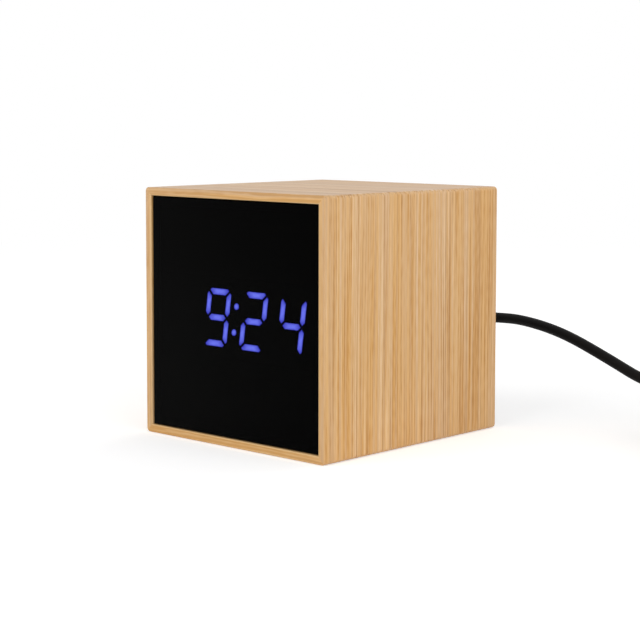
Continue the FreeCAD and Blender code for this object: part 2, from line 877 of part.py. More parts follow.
def header(name, x, z, base, inward):
    """A wire header: an open plastic box that stands on a board."""
    piece = Piece(name, x, base, z)
    outline = piece.sketch()
    rectangle(outline, s.header_length, s.header_width)
    piece.pad(outline, s.header_height, inward=inward)
    mouth = piece.sketch(inward * s.header_height)
    rectangle(mouth, s.header_length - 2 * s.header_wall, s.header_width - 2 * s.header_wall)
    piece.pocket(mouth, s.header_depth, inward=-inward)


def wire_harness():
    """The two headers and the wires that run from one board to the other."""
    front_z = middle + s.display_header_z
    rear_z = middle + s.rear_header_z
    header("display_header", display_header_x, front_z, display_board_back, 1)
    header("rear_header", rear_header_x, rear_z, rear_board_front, -1)
    floor = s.header_height - s.header_depth
    start = (display_board_back + floor).value
    end = (rear_board_front - floor).value
    stub = s.header_depth.value + s.wire_stub.value
    wires = []
    for i in range(HARNESS_WIRES):
        step = (i - (HARNESS_WIRES - 1) / 2) * s.wire_pitch.value
        front_x = display_header_x.value + step
        rear_x = rear_header_x.value + step
        points = [
            (front_x, start, front_z.value),
            (front_x, start + stub, front_z.value),
            (rear_x, end - stub, rear_z.value),
            (rear_x, end, rear_z.value),
        ]
        wires.append(tube(points, s.wire_diameter.value)[0])
    node(shaped("harness_wires", Part.makeCompound(wires)), "harness_wires")


# Bent tubes

def bend_path(points):
    """Straight runs joined by tangent arcs: each arc takes 0.45 of its shorter run."""
    points = [VEC(*p) for p in points]
    edges = []
    radii = []
    last = points[0]
    for before, corner, after in zip(points, points[1:], points[2:]):
        come = corner - before
        go = after - corner
        reach = 0.45 * min(come.Length, go.Length)
        half = come.getAngle(go) / 2
        radius = reach / math.tan(half)
        come.normalize()
        go.normalize()
        inward = (go - come).normalize()
        start = corner - come * reach
        end = corner + go * reach
        crown = corner + inward * (radius / math.cos(half) - radius)
        edges.append(Part.LineSegment(last, start).toShape())
        edges.append(Part.Arc(start, crown, end).toShape())
        radii.append(radius)
        last = end
    edges.append(Part.LineSegment(last, points[-1]).toShape())
    return Part.Wire(edges), radii


def swept(path, diameter):
    """A round tube of solid section along a path, and how far its volume is from the sum."""
    start = path.Edges[0]
    point = start.valueAt(start.FirstParameter)
    tangent = start.tangentAt(start.FirstParameter)
    ring = Part.Wire(Part.makeCircle(diameter / 2, point, tangent))
    solid = path.makePipeShell([ring], True, False)
    expected = math.pi * diameter ** 2 / 4 * path.Length
    return solid, abs(solid.Volume / expected - 1)


def tube(points, diameter):
    """A tube along a hand-set route, with the route's bend radii and its length."""
    path, radii = bend_path(points)
    solid, error = swept(path, diameter)
    if error > 0.01:
        raise RuntimeError(f"a tube's volume is off by {error:.1%}")
    return solid, radii, path.Length


# Rear of the clock

def rear_cover():
    """The plastic rear cover, with its openings, screw holes and board bosses."""
    piece = Piece("rear_cover", 0, cover_back, middle)
    thick = s.cover_thickness
    plate = piece.sketch()
    rectangle(plate, insert_width, insert_height)
    piece.pad(plate, thick, inward=-1)
    piece.ease("Fillet", s.cover_edge, flat_at(0))
    skirt = piece.sketch(-thick)
    rectangle(skirt, insert_width, insert_height)
    rectangle(skirt, insert_width - 2 * s.cover_skirt_wall, insert_height - 2 * s.cover_skirt_wall)
    piece.pad(skirt, s.cover_skirt_depth, inward=-1)
    bosses = piece.sketch(-thick)
    pilots = piece.sketch(-thick - s.rear_board_spacing)
    for x, z in REAR_BOARD_SCREWS:
        circle(bosses, s.boss_diameter, x, z)
        circle(pilots, s.pilot_diameter, x, z)
    piece.pad(bosses, s.rear_board_spacing, inward=-1)
    piece.pocket(pilots, s.pilot_depth, inward=1)
    through = piece.sketch()
    for _, step in BUTTONS:
        circle(through, s.button_diameter + 2 * s.button_gap, step * s.button_spacing, button_z)
    circle(through, s.socket_collar_diameter + 2 * s.socket_collar_gap, s.socket_x, socket_z)
    circle(through, s.microphone_hole, microphone_x, microphone_z)
    circle(through, s.sound_hole_diameter, buzzer_x, buzzer_z)
    for i in range(SOUND_HOLES):
        angle = 2 * math.pi * i / SOUND_HOLES
        circle(through, s.sound_hole_diameter, buzzer_x + math.cos(angle) * s.sound_hole_pitch,
               buzzer_z + math.sin(angle) * s.sound_hole_pitch)
    for right, up in FOUR_CORNERS:
        circle(through, s.cover_screw_hole, right * post_x, up * post_z)
    circle(through, s.door_hub_diameter + 2 * s.door_gap, coin_x, coin_z)
    piece.pocket(through, thick, inward=-1)
    sinks = piece.sketch()
    for right, up in FOUR_CORNERS:
        circle(sinks, s.counterbore_diameter, right * post_x, up * post_z)
    piece.pocket(sinks, s.counterbore_depth, inward=-1)
    recess = piece.sketch()
    circle(recess, s.door_lip_diameter + 2 * s.door_gap, coin_x, coin_z)
    piece.pocket(recess, s.door_lip_thickness, inward=-1)
    for i in range(DOOR_TABS):
        notch = piece.sketch()
        turned_rectangle(notch, s.door_hub_diameter / 2 - 1, s.door_tab_reach + s.door_gap,
                         s.door_tab_width + 2 * s.door_gap, 90 + 360 / DOOR_TABS * i, coin_x, coin_z)
        piece.pocket(notch, thick, inward=-1)


def battery_door():
    """The round door over the coin cell. Its tabs lock under the cover until it is turned."""
    piece = Piece("battery_door", coin_x, cover_back, middle + coin_z)
    lip = piece.sketch()
    circle(lip, s.door_lip_diameter)
    piece.pad(lip, s.door_lip_thickness - s.door_gap / 2, inward=-1)
    piece.ease("Fillet", s.door_edge, flat_at(0))
    hub = piece.sketch()
    circle(hub, s.door_hub_diameter)
    piece.pad(hub, s.cover_thickness, inward=-1)
    ring = piece.sketch(-s.cover_thickness)
    circle(ring, s.door_hub_diameter)
    circle(ring, s.door_hub_diameter - 2 * s.door_ring_wall)
    piece.pad(ring, s.door_ring_depth, inward=-1)
    for i in range(DOOR_TABS):
        tab = piece.sketch(-s.cover_thickness - s.door_tab_lash)
        degrees = 90 + s.door_turn.value + 360 / DOOR_TABS * i
        turned_rectangle(tab, s.door_hub_diameter / 2 - s.door_ring_wall / 2, s.door_tab_reach,
                         s.door_tab_width, degrees, 0, 0)
        piece.pad(tab, s.door_tab_thickness, inward=-1)
    slot = piece.sketch()
    rectangle(slot, s.coin_slot_length, s.coin_slot_width)
    piece.pocket(slot, s.coin_slot_depth, inward=-1)


def buttons():
    """Three round buttons, each with the switch plunger that it presses."""
    inner_face = cover_front - s.button_lash - s.button_flange_thickness
    plunger_length = inner_face - rear_board_back - s.switch_floor - s.button_travel - s.plunger_overtravel
    for name, step in BUTTONS:
        x = step * s.button_spacing
        piece = Piece(f"{name}_button", x, inner_face, middle + button_z)
        flange = piece.sketch()
        circle(flange, s.button_flange_diameter)
        piece.pad(flange, s.button_flange_thickness)
        stem = piece.sketch()
        circle(stem, s.button_diameter)
        top = cover_back - inner_face + s.button_proud
        piece.pad(stem, top)
        piece.ease("Fillet", s.button_crown, flat_at(top))
        plunger = rod(f"{name}_plunger", s.plunger_diameter, plunger_length, x,
                      inner_face - plunger_length, middle + button_z)
        node(plunger, f"{name}_plunger")


def rear_board():
    """The circuit board behind the buttons, with a cut-out for the power socket."""
    piece = Piece("rear_board", 0, rear_board_front, middle)
    outline = piece.sketch()
    rectangle(outline, rear_board_width, rear_board_height)
    piece.pad(outline, s.board_thickness)
    holes = piece.sketch()
    for x, z in REAR_BOARD_SCREWS:
        circle(holes, s.board_hole_diameter, x, z)
    side = s.socket_width + 2 * s.socket_cutout_gap
    rectangle(holes, side, side, s.socket_x, socket_z)
    piece.pocket(holes, s.board_thickness)


def tactile_switches():
    """The switch under each button: a plastic body with a metal top plate."""
    width = s.switch_width
    bodies = []
    plates = []
    for name, step in BUTTONS:
        x = step * s.button_spacing
        z = middle + button_z
        body = block(f"{name}_switch_block", x - width / 2, rear_board_back, z - width / 2,
                     width, s.switch_height, width)
        well = rod(f"{name}_switch_well", s.plunger_diameter + 2 * s.plunger_gap, s.switch_height,
                   x, rear_board_back + s.switch_floor, z)
        bodies.append(cut(f"{name}_switch_body", body, [well]))
        plate = block(f"{name}_plate_block", x - width / 2, rear_board_back + s.switch_height,
                      z - width / 2, width, s.switch_plate, width)
        hole = rod(f"{name}_plate_hole", s.plunger_diameter + 4 * s.plunger_gap, s.switch_height,
                   x, rear_board_back + s.switch_floor, z)
        plates.append(cut(f"{name}_switch_plate", plate, [hole]))
    node(group("switch_bodies", bodies), "switch_bodies")
    node(group("switch_plates", plates), "switch_plates")


def power_socket():
    """The round power socket, its centre pin and the lugs that hold it to the board."""
    x = s.socket_x
    z = middle + socket_z
    width = s.socket_width
    shoulder = cover_front - s.button_lash
    start = cover_back - s.socket_length
    body = block("socket_block", x - width / 2, start, z - width / 2, width, shoulder - start, width)
    collar = rod("socket_collar", s.socket_collar_diameter, s.socket_length, x, start, z)
    bore = rod("socket_bore", s.socket_bore, s.socket_bore_depth + 1, x, cover_back - s.socket_bore_depth, z)
    node(cut("power_socket", fuse("socket_solid", [body, collar]), [bore]), "power_socket")
    pin_start = cover_back - s.socket_bore_depth
    node(rod("socket_pin", s.socket_pin_diameter, s.socket_bore_depth - 1, x, pin_start, z), "socket_pin")
    lugs = []
    for number, side in enumerate((-1, 1)):
        low = x + side * width / 2 - (s.lug_length if side < 0 else 0)
        lugs.append(block(f"socket_lug_{number}", low, rear_board_back, z - s.lug_width / 2,
                          s.lug_length, s.lug_thickness, s.lug_width))
    lugs.append(block("socket_lug_low", x - s.lug_width / 2, rear_board_back,
                      z - width / 2 - s.lug_length, s.lug_width, s.lug_thickness, s.lug_length))
    node(group("socket_lugs", lugs), "socket_lugs")


def sound_parts():
    """The buzzer for the alarm and the microphone that wakes the display."""
    z = middle + buzzer_z
    can = rod("buzzer_can", s.buzzer_diameter, s.buzzer_height, buzzer_x, rear_board_back, z)
    port = rod("buzzer_mouth", s.buzzer_port, s.buzzer_height, buzzer_x, rear_board_back + 1, z)
    node(cut("buzzer", can, [port]), "buzzer")
    z = middle + microphone_z
    capsule = rod("microphone_can", s.microphone_diameter, s.microphone_height, microphone_x,
                  rear_board_back, z)
    face = rod("microphone_face", s.microphone_diameter - 1.4, 0.3, microphone_x,
               rear_board_back + s.microphone_height - 0.3, z)
    node(cut("microphone", capsule, [face]), "microphone")


def coin_cell_parts():
    """The backup cell in its holder, with the contact below it and the clip over its rim."""
    x = coin_x
    z = middle + coin_z
    width = s.holder_width
    floor = rear_board_back + s.holder_floor
    cell_start = floor + s.contact_thickness
    cell_end = cell_start + s.coin_thickness
    rim = cell_end + s.holder_rim
    holder = Piece("coin_holder", x, rear_board_back, z)
    half = width / 2
    cut_off = half - s.holder_corner
    octagon = [(half, -cut_off), (half, cut_off), (cut_off, half), (-cut_off, half),
               (-half, cut_off), (-half, -cut_off), (-cut_off, -half), (cut_off, -half)]
    outline = holder.sketch()
    polygon(outline, octagon)
    holder.pad(outline, rim - rear_board_back)
    well = holder.sketch(rim - rear_board_back)
    circle(well, s.coin_diameter + 2 * s.coin_gap)
    holder.pocket(well, rim - floor, inward=-1)
    clip_slot = holder.sketch(rim - rear_board_back)
    rectangle(clip_slot, s.contact_width, half - s.coin_diameter / 2 + 2, 0, (half + s.coin_diameter / 2) / 2)
    holder.pocket(clip_slot, rim - floor, inward=-1)
    can = rod("coin_can", s.coin_diameter, s.coin_thickness - s.coin_step, x, cell_start + s.coin_step, z)
    step = rod("coin_cap", s.coin_diameter - 4 * s.coin_step, s.coin_step, x, cell_start, z)
    node(fuse("coin_cell", [can, step]), "coin_cell")
    below = block("coin_contact_strip", x - s.contact_width / 2, floor, z - s.coin_diameter / 2 + 2,
                  s.contact_width, s.contact_thickness, s.coin_diameter - 4)
    node(below, "coin_contact")
    clip_top = z + width / 2 + s.contact_thickness
    clip_bottom = z + s.coin_diameter / 2 - 3
    bar = block("clip_bar", x - s.contact_width / 2, cell_end, clip_bottom, s.contact_width,
                s.contact_thickness, clip_top - clip_bottom)
    leg = block("clip_leg", x - s.contact_width / 2, rear_board_back, z + width / 2,
                s.contact_width, cell_end - rear_board_back, s.contact_thickness)
    node(fuse("coin_clip", [bar, leg]), "coin_clip")


# Screws

def screw(name, length):
    """A pan-head screw with a cross recess. Its head's seat is at Y = 0 and it points to -Y."""
    head = rod(f"{name}_head", s.screw_head_diameter, s.screw_head_height, 0, 0, 0)
    shank = rod(f"{name}_shank", s.screw_shank_diameter, length, 0, -length, 0)
    crown = s.screw_head_height - s.screw_cross_depth
    wide = block(f"{name}_cross_a", -s.screw_cross_length / 2, crown, -s.screw_cross_width / 2,
                 s.screw_cross_length, s.screw_head_height, s.screw_cross_width)
    tall = block(f"{name}_cross_b", -s.screw_cross_width / 2, crown, -s.screw_cross_length / 2,
                 s.screw_cross_width, s.screw_head_height, s.screw_cross_length)
    return cut(name, fuse(f"{name}_solid", [head, shank]), [fuse(f"{name}_cross", [wide, tall])])


def screws():
    """The screws of the rear cover and of the two boards."""
    cover_screw = screw("cover_screw", s.screw_shank_length)
    seat = cover_back - s.counterbore_depth
    spots = [(right * post_x, seat, middle + up * post_z) for right, up in FOUR_CORNERS]
    node(copies("cover_screws", cover_screw, spots), "cover_screws")
    board_screw = screw("board_screw", s.board_screw_length)
    spots = []
    for right, up in FOUR_CORNERS:
        spots.append((right * display_screw_x, display_board_back, middle + up * display_screw_z))
    node(copies("display_board_screws", board_screw, spots), "display_board_screws")
    inward_screw = screw("inward_screw", s.board_screw_length)
    place(inward_screw, turn=turned((0, 0, 1), 180))
    spots = [(x, rear_board_front, middle + z) for x, z in REAR_BOARD_SCREWS]
    node(copies("rear_board_screws", inward_screw, spots), "rear_board_screws")


# Power plug, cord and flat plug

def relief(name, x, y, z, length, turn=ALONG_Y):
    """A tapered strain relief with a few grooves round it."""
    start = s.relief_start_diameter
    end = s.relief_end_diameter
    body = taper(f"{name}_cone", start, end, length, x, y, z, turn)
    rings = []
    for i in range(RELIEF_RIBS):
        along = length * (i + 0.7) / (RELIEF_RIBS + 0.6)
        ring = doc.addObject("Part::Torus", f"{name}_groove_{i}")
        across = start / 2 - (start - end) / 2 * (i + 0.7) / (RELIEF_RIBS + 0.6)
        bind(ring, Radius1=across, Radius2=s.relief_groove)
        if turn is ALONG_Y:
            place(ring, x, y + along, z, turn)
        else:
            place(ring, x + along, y, z, turn)
        rings.append(ring)
    return cut(name, body, rings)


def power_plug():
    """The moulded plug in the power socket, with its metal barrel and strain relief."""
    x = s.socket_x
    z = middle + socket_z
    face = cover_back + s.plug_face_gap
    nose_length = s.plug_grip_length / 4
    nose = taper("plug_nose", s.plug_nose_diameter, s.plug_grip_diameter, nose_length, x, face, z)
    grip = rod("plug_grip", s.plug_grip_diameter, s.plug_grip_length - nose_length, x, face + nose_length, z)
    handle = fuse("plug_handle", [nose, grip])
    flats = []
    for i in range(2):
        low = z - s.plug_grip_diameter / 2 if i else z + s.plug_grip_diameter / 2 - 0.6
        flats.append(block(f"plug_flat_{i}", x - 2, face + nose_length + 1, low, 4,
                           s.plug_grip_length - nose_length - 2, 0.6))
    node(cut("power_plug", handle, flats), "power_plug")
    start = face - s.barrel_length
    barrel = rod("barrel_solid", s.barrel_diameter, s.barrel_length, x, start, z)
    bore = rod("barrel_bore", s.barrel_bore, s.barrel_length - 0.5, x, start, z)
    node(cut("plug_barrel", barrel, [bore]), "plug_barrel")
    node(relief("plug_relief", x, face + s.plug_grip_length, z, s.relief_length), "plug_relief")


def coil_line(turn_number):
    """The coil's centreline at a number of turns from its start on top: (x, y, z)."""
    layer_turns = coil_layer_turns()
    stage = layer_turns + 0.5
    layer = min(int(turn_number / stage), COIL_LAYERS - 1)
    into = turn_number - layer * stage
    grow = s.coil_pitch.value * layer_turns
    wide = s.coil_mean_diameter.value / 2 + grow / 2
    share = min(into, layer_turns) / layer_turns
    if layer % 2:
        radius = wide - grow + grow * share
    else:
        radius = wide - grow * share
    sunk = layer
    if into > layer_turns:
        sunk += (1 - math.cos(math.pi * (into - layer_turns) / 0.5)) / 2
    angle = math.radians(90 - 360 * turn_number)
    height = coil_bottom() + (COIL_LAYERS - 1 - sunk) * s.coil_layer_rise.value
    return VEC(
        s.coil_x.value + radius * math.cos(angle),
        s.coil_y.value + radius * math.sin(angle),
        height,
    )


def coil_layer_turns():
    """How many turns each layer has, so that the coil ends at its exit angle."""
    whole = COIL_WHOLE_TURNS + s.coil_exit_turn.value / 360
    return (whole - 0.5 * (COIL_LAYERS - 1)) / COIL_LAYERS


def coil_bottom():
    """The height of the lowest layer's centreline: the turns lie on the tie."""
    return s.tie_thickness.value + 0.05 + s.cord_diameter.value / 2


def coil_stations():
    """The turn numbers where the coil's arcs meet: quarter turns or a little less."""
    layer_turns = coil_layer_turns()
    steps = math.ceil(layer_turns * 4)
    found = [0.0]
    for layer in range(COIL_LAYERS):
        base = layer * (layer_turns + 0.5)
        found += [base + layer_turns * (i + 1) / steps for i in range(steps)]
        if layer < COIL_LAYERS - 1:
            found += [base + layer_turns + 0.25, base + layer_turns + 0.5]
    return found


def arc_from(start, tangent, end):
    """The arc that leaves start along tangent and passes through end."""
    chord = end - start
    along = VEC(chord).normalize()
    side = tangent - along * tangent.dot(along)
    half = math.atan2(side.Length, tangent.dot(along))
    crown = start + chord / 2 + side.normalize() * (chord.Length / 2 * math.tan(half / 2))
    return Part.Arc(start, crown, end).toShape()


def biarc(start, leave, end, arrive):
    """Two tangent arcs from start to end with the given directions at both."""
    chord = end - start
    both = leave + arrive
    spare = 2 * (1 - leave.dot(arrive))
    reach = (-chord.dot(both) + math.sqrt(chord.dot(both) ** 2 + spare * chord.dot(chord))) / spare
    joint = (start + end + (leave - arrive) * reach) / 2
    first = arc_from(start, leave, joint)
    second = arc_from(end, VEC(0, 0, 0) - arrive, joint)
    middle_point = second.valueAt((second.FirstParameter + second.LastParameter) / 2)
    return [first, Part.Arc(joint, middle_point, end).toShape()]


def coil_path():
    """The coil's centreline as tangent arcs, with a straight end of one diameter each way."""
    stations = coil_stations()
    points = [coil_line(t) for t in stations]
    small = 0.001
    tangents = [(coil_line(t + small) - coil_line(t - small)).normalize() for t in stations]
    exit_angle = math.radians(-s.coil_exit_turn.value)
    tangents[0] = VEC(1, 0, 0)
    tangents[-1] = VEC(math.cos(exit_angle), math.sin(exit_angle), 0)
    straight = s.cord_diameter.value
    edges = [Part.LineSegment(points[0] - tangents[0] * straight, points[0]).toShape()]
    for i in range(len(points) - 1):
        edges += biarc(points[i], tangents[i], points[i + 1], tangents[i + 1])
    edges.append(Part.LineSegment(points[-1], points[-1] + tangents[-1] * straight).toShape())
    return Part.Wire(edges), points[0] - tangents[0] * straight, points[-1] + tangents[-1] * straight


def least_gap(path, diameter):
    """The least distance between a path's tube and itself, away from where it is one stretch."""
    points = path.discretize(Distance=1.0)
    apart = int(4 * diameter)
    best = 1e9
    for i, a in enumerate(points):
        for b in points[i + apart:]:
            best = min(best, a.distanceToPoint(b))
    return best - diameter


def power_cord():
    """The cord: a free lead from the power plug, the coil and a short tail to the flat plug."""
    diameter = s.cord_diameter.value
    leave_y = (cover_back + s.plug_face_gap + s.plug_grip_length + s.relief_length).value
    first = VEC(s.socket_x.value, leave_y, (middle + socket_z).value)
    second = first + VEC(0, s.lead_leave_run.value, 0)
    path, coil_start, coil_end = coil_path()
    solid, error = swept(path, diameter)
    print(f"coil: length {path.Length:.1f}, volume off by {error:.2%}, least gap {least_gap(path, diameter):.2f}")
    before_coil = coil_start - VEC(s.lead_arrive_run.value, 0, 0)
    lead_points = [first, second] + LEAD_POINTS + [before_coil, coil_start]
    lead, radii, lead_length = tube(lead_points, diameter)
    print(f"lead: length {lead_length:.1f}, radii {[round(r, 1) for r in radii]}")
    node(shaped("cord_lead", lead), "cord_lead")
    node(shaped("cord_coil", solid), "cord_coil")
    low = coil_end.z
    high = (s.usb_body_height / 2).value
    run = s.tail_run.value
    tail, radii, tail_length = tube([(0, 0, low), (run, 0, low), (2 * run, 0, high), (3 * run, 0, high)], diameter)
    print(f"tail: length {tail_length:.1f}, radii {[round(r, 1) for r in radii]}")
    print(f"whole cord: {lead_length + path.Length + tail_length:.1f}")
    turn = turned((0, 0, 1), -s.coil_exit_turn.value)
    node(shaped("cord_tail", tail, turn, coil_end.x, coil_end.y), "cord_tail")
    return coil_end, turn


def coil_tie():
    """The strap round the coil's turns. The coil lies on it."""
    grow = s.coil_pitch * coil_layer_turns()
    wide = grow + s.cord_diameter + 2 * s.tie_gap
    tall = (COIL_LAYERS - 1) * s.coil_layer_rise + s.cord_diameter + 2 * 0.05
    thick = s.tie_thickness
    middle_radius = s.coil_mean_diameter / 2
    width = s.tie_width
    outer = block("tie_outer", middle_radius - wide / 2 - thick, -width / 2, 0,
                  wide + 2 * thick, width, tall + 2 * thick)
    hole = block("tie_hole", middle_radius - wide / 2, -width, thick, wide, 2 * width, tall)
    band = cut("tie_band", outer, [hole])
    doc.recompute()
    long_edges = []
    for edge in band.Shape.Edges:
        box = edge.BoundBox
        if box.YLength > float(width) * 0.9:
            inside = abs(box.XMin - float(middle_radius)) < float(wide) / 2 + 0.01
            long_edges.append((edge, 0.8 if inside else 0.8 + float(thick)))
    shape = band.Shape
    for radius in (0.8, 0.8 + float(thick)):
        wanted = [edge for edge, size in long_edges if size == radius]
        shape = shape.makeFillet(radius, matching_edges(shape, wanted))
    turn = turned((0, 0, 1), s.tie_angle.value)
    node(shaped("coil_tie", shape, turn, s.coil_x, s.coil_y), "coil_tie")


def matching_edges(shape, wanted):
    """The shape's edges whose middles are those of the wanted ones."""
    found = []
    for edge in shape.Edges:
        for other in wanted:
            if edge.CenterOfMass.distanceToPoint(other.CenterOfMass) < 1e-4:
                found.append(edge)
                break
    return found


def usb_plug(start, turn):
    """The flat plug at the cord's end, drawn along X and turned to the cord's way."""
    high = s.usb_body_height / 2
    relief_start = 3 * s.tail_run
    body_start = relief_start + s.usb_relief_length
    tip = body_start + s.usb_body_length + s.usb_shell_length
    back_to_front = turned((0, 1, 0), -90)
    parts = {}
    parts["usb_relief"] = relief_towards_cord("drawn_relief", body_start, high, s.usb_relief_length, back_to_front)
    width = s.usb_body_width
    block_body = block("usb_body_block", body_start, -width / 2, 0, s.usb_body_length, width, s.usb_body_height)
    doc.recompute()
    rounded = block_body.Shape
    rounded = rounded.makeFillet(s.usb_body_edge.value, [
        e for e in rounded.Edges if e.BoundBox.XLength > s.usb_body_length.value * 0.9
    ])
    rear = [e for e in rounded.Edges if e.BoundBox.XMax < body_start.value + 1e-4]
    rounded = rounded.makeChamfer(0.8, rear)
    parts["usb_body"] = shaped("usb_rounded", rounded)
    shell_start = body_start + s.usb_body_length - s.usb_shell_seat
    shell_length = s.usb_shell_length + s.usb_shell_seat
    wall = s.usb_shell_wall
    outer = block("usb_shell_block", shell_start, -s.usb_shell_width / 2, high - s.usb_shell_height / 2,
                  shell_length, s.usb_shell_width, s.usb_shell_height)
    seat = block("usb_body_seat", shell_start, -s.usb_shell_width / 2, high - s.usb_shell_height / 2,
                 shell_length, s.usb_shell_width, s.usb_shell_height)
    parts["usb_body"] = cut("drawn_usb_body", parts["usb_body"], [seat])
    hollow = block("usb_shell_hollow", shell_start, wall - s.usb_shell_width / 2,
                   high - s.usb_shell_height / 2 + wall, shell_length,
                   s.usb_shell_width - 2 * wall, s.usb_shell_height - 2 * wall)
    windows = []
    for number, side in enumerate((-1, 1)):
        y = side * (s.usb_window_width + s.usb_window_gap) / 2 - s.usb_window_width / 2
        windows.append(block(f"usb_window_{number}", tip - s.usb_window_from_tip, y, 0,
                             s.usb_window_width, s.usb_window_width, s.usb_body_height))
    parts["usb_shell"] = cut("drawn_usb_shell", outer, [hollow] + windows)
    tongue_bottom = high - s.usb_shell_height / 2 + wall
    tongue_width = s.usb_shell_width - 2 * wall - 0.2
    tongue = block("usb_tongue_block", shell_start, -tongue_width / 2, tongue_bottom,
                   s.usb_tongue_length + s.usb_shell_seat, tongue_width, s.usb_tongue_height)
    parts["usb_tongue"] = tongue
    contacts = []
    for i in range(4):
        y = (i - 1.5) * s.usb_contact_pitch - s.usb_contact_width / 2
        x = shell_start + s.usb_tongue_length + s.usb_shell_seat - s.usb_contact_length - 1
        contacts.append(block(f"usb_contact_{i}", x, y, tongue_bottom + s.usb_tongue_height,
                              s.usb_contact_length, s.usb_contact_width, s.usb_contact_thickness))
    parts["usb_contacts"] = group("drawn_usb_contacts", contacts)
    doc.recompute()
    for name, thing in parts.items():
        moved = thing.Shape.copy()
        moved.Placement = FreeCAD.Placement(VEC(start.x, start.y, 0), turn).multiply(moved.Placement)
        made = doc.addObject("Part::Feature", name)
        made.Shape = moved
        node(made, name)


def relief_towards_cord(name, body_start, height, length, turn):
    """A strain relief that starts at the plug's body and tapers back to the cord."""
    start = s.relief_start_diameter
    end = s.relief_end_diameter
    cone = taper(f"{name}_cone", start, end, length, body_start, 0, height, turn)
    rings = []
    for i in range(RELIEF_RIBS):
        share = (i + 0.7) / (RELIEF_RIBS + 0.6)
        ring = doc.addObject("Part::Torus", f"{name}_groove_{i}")
        bind(ring, Radius1=start / 2 - (start - end) / 2 * share, Radius2=s.relief_groove)
        place(ring, body_start - length * share, 0, height, turn)
        rings.append(ring)
    return cut(name, cone, rings)


def build():
    """Makes every sub-part."""
    wooden_case()
    front_lens()
    lens_tape()
    inner_frame()
    display_module()
    display_pins()
    display_board()
    controller()
    small_parts()
    wire_harness()
    rear_cover()
    battery_door()
    buttons()
    rear_board()
    tactile_switches()
    power_socket()
    sound_parts()
    coin_cell_parts()
    screws()
    power_plug()
    start, turn = power_cord()
    coil_tie()
    usb_plug(start, turn)


def write_files():
    """Checks every object and then writes one file for each sub-part."""
    doc.recompute()
    for thing in doc.Objects:
        if "Invalid" in thing.State or "Error" in thing.State:
            raise RuntimeError(f"{thing.Name} is {thing.State}")
    for thing in nodes:
        if thing.Shape.isNull() or not thing.Shape.isValid():
            raise RuntimeError(f"{thing.Label} has no sound shape")
    os.makedirs("parts", exist_ok=True)
    for thing in nodes:
        thing.Shape.exportStep(f"parts/{thing.Label}.step")
    print(f"{len(nodes)} sub-parts written")


build()
write_files()
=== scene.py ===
import math

import bmesh
import bpy
from mathutils import Matrix, Vector


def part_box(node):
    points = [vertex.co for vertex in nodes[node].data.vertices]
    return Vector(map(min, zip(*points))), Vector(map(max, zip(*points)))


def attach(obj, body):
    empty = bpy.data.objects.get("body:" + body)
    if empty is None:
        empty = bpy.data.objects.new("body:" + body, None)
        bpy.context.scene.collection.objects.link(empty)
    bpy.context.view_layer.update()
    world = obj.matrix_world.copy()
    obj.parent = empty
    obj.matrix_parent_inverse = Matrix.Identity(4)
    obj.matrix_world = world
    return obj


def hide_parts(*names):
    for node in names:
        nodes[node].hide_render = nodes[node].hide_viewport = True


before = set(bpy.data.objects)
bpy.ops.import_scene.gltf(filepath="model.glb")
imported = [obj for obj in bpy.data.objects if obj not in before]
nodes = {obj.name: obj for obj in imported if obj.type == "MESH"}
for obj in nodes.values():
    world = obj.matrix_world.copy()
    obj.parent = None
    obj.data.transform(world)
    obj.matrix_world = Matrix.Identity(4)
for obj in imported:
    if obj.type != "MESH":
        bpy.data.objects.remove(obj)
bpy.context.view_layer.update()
MM = 0.001


# Sizes and places from the frame, in millimetres

def corners(node):
    """A CAD node's lowest and highest corner at rest, to a hundredth of a millimetre."""
    return [Vector([round(value / MM, 2) for value in corner]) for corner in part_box(node)]


def rear_middle(node):
    """The middle of a CAD node's rear face at rest."""
    low, high = corners(node)
    return Vector(((low.x + high.x) / 2, high.y, (low.z + high.z) / 2))


side_low, side_high = corners("case_right")
CASE_WIDTH, CASE_DEPTH = 2 * side_high.x, 2 * side_high.y
CASE_HEIGHT = corners("case_top")[1].z
CASE_WALL = side_high.x - side_low.x
display_low, display_high = corners("lit_segments")
DISPLAY_FACE = display_low.y
DIGIT_MIDDLE = (display_low.z + display_high.z) / 2


# Sizes repeated from the part's source, in millimetres and degrees

DIGIT_HEIGHT, DIGIT_WIDTH, DIGIT_PITCH = 13.9, 8.05, 12.225
DIGIT_SLANT = 8.2
SEGMENT_WIDTH, SEGMENT_GAP, SEGMENT_DEPTH = 1.5, 0.55, 1.0
SEGMENT_CORNER_CUT = 0.9
COLON_DIAMETER, COLON_SPACING = 1.6, 6.2
SHOWN_DIGITS = ["", "abcdfg", "abdeg", "bcfg"]
DOOR_TURN = 60.0

CORD_DIAMETER = 2.8
CORD_EXIT = (-8.0, 48.1, 22.8)
LEAD_POINTS = [
    CORD_EXIT,
    (-8.0, 56.2, 22.8),
    (-3.8, 63.2, 22.4),
    (3.4, 67.0, 22.3),
    (12.8, 66.2, 22.6),
    (27.0, 64.5, 20.6),
    (41.0, 63.7, 15.6),
    (55.0, 63.3, 9.8),
    (69.0, 62.7, 9.6),
]
LEAD_ARRIVE_RUN = 12.0
COIL_CENTRE = Vector((98.5, 45.0))
COIL_MEAN_RADIUS = 15.0
COIL_PITCH, COIL_RISE, COIL_LAYERS = 3.75, 3.45, 4
COIL_BOTTOM = 1.85
COIL_EXIT_TURN = 75.0
COIL_TURNS = 9 + COIL_EXIT_TURN / 360
COIL_DROP_TURNS = 0.5
COIL_POINTS_PER_TURN = 16
TAIL_RUN, TAIL_END_HEIGHT = 6.0, 3.8
STRAP_ANGLE, STRAP_WIDTH, STRAP_THICKNESS = 215.0, 4.0, 0.4


# Sizes that only the scene has, in millimetres and degrees

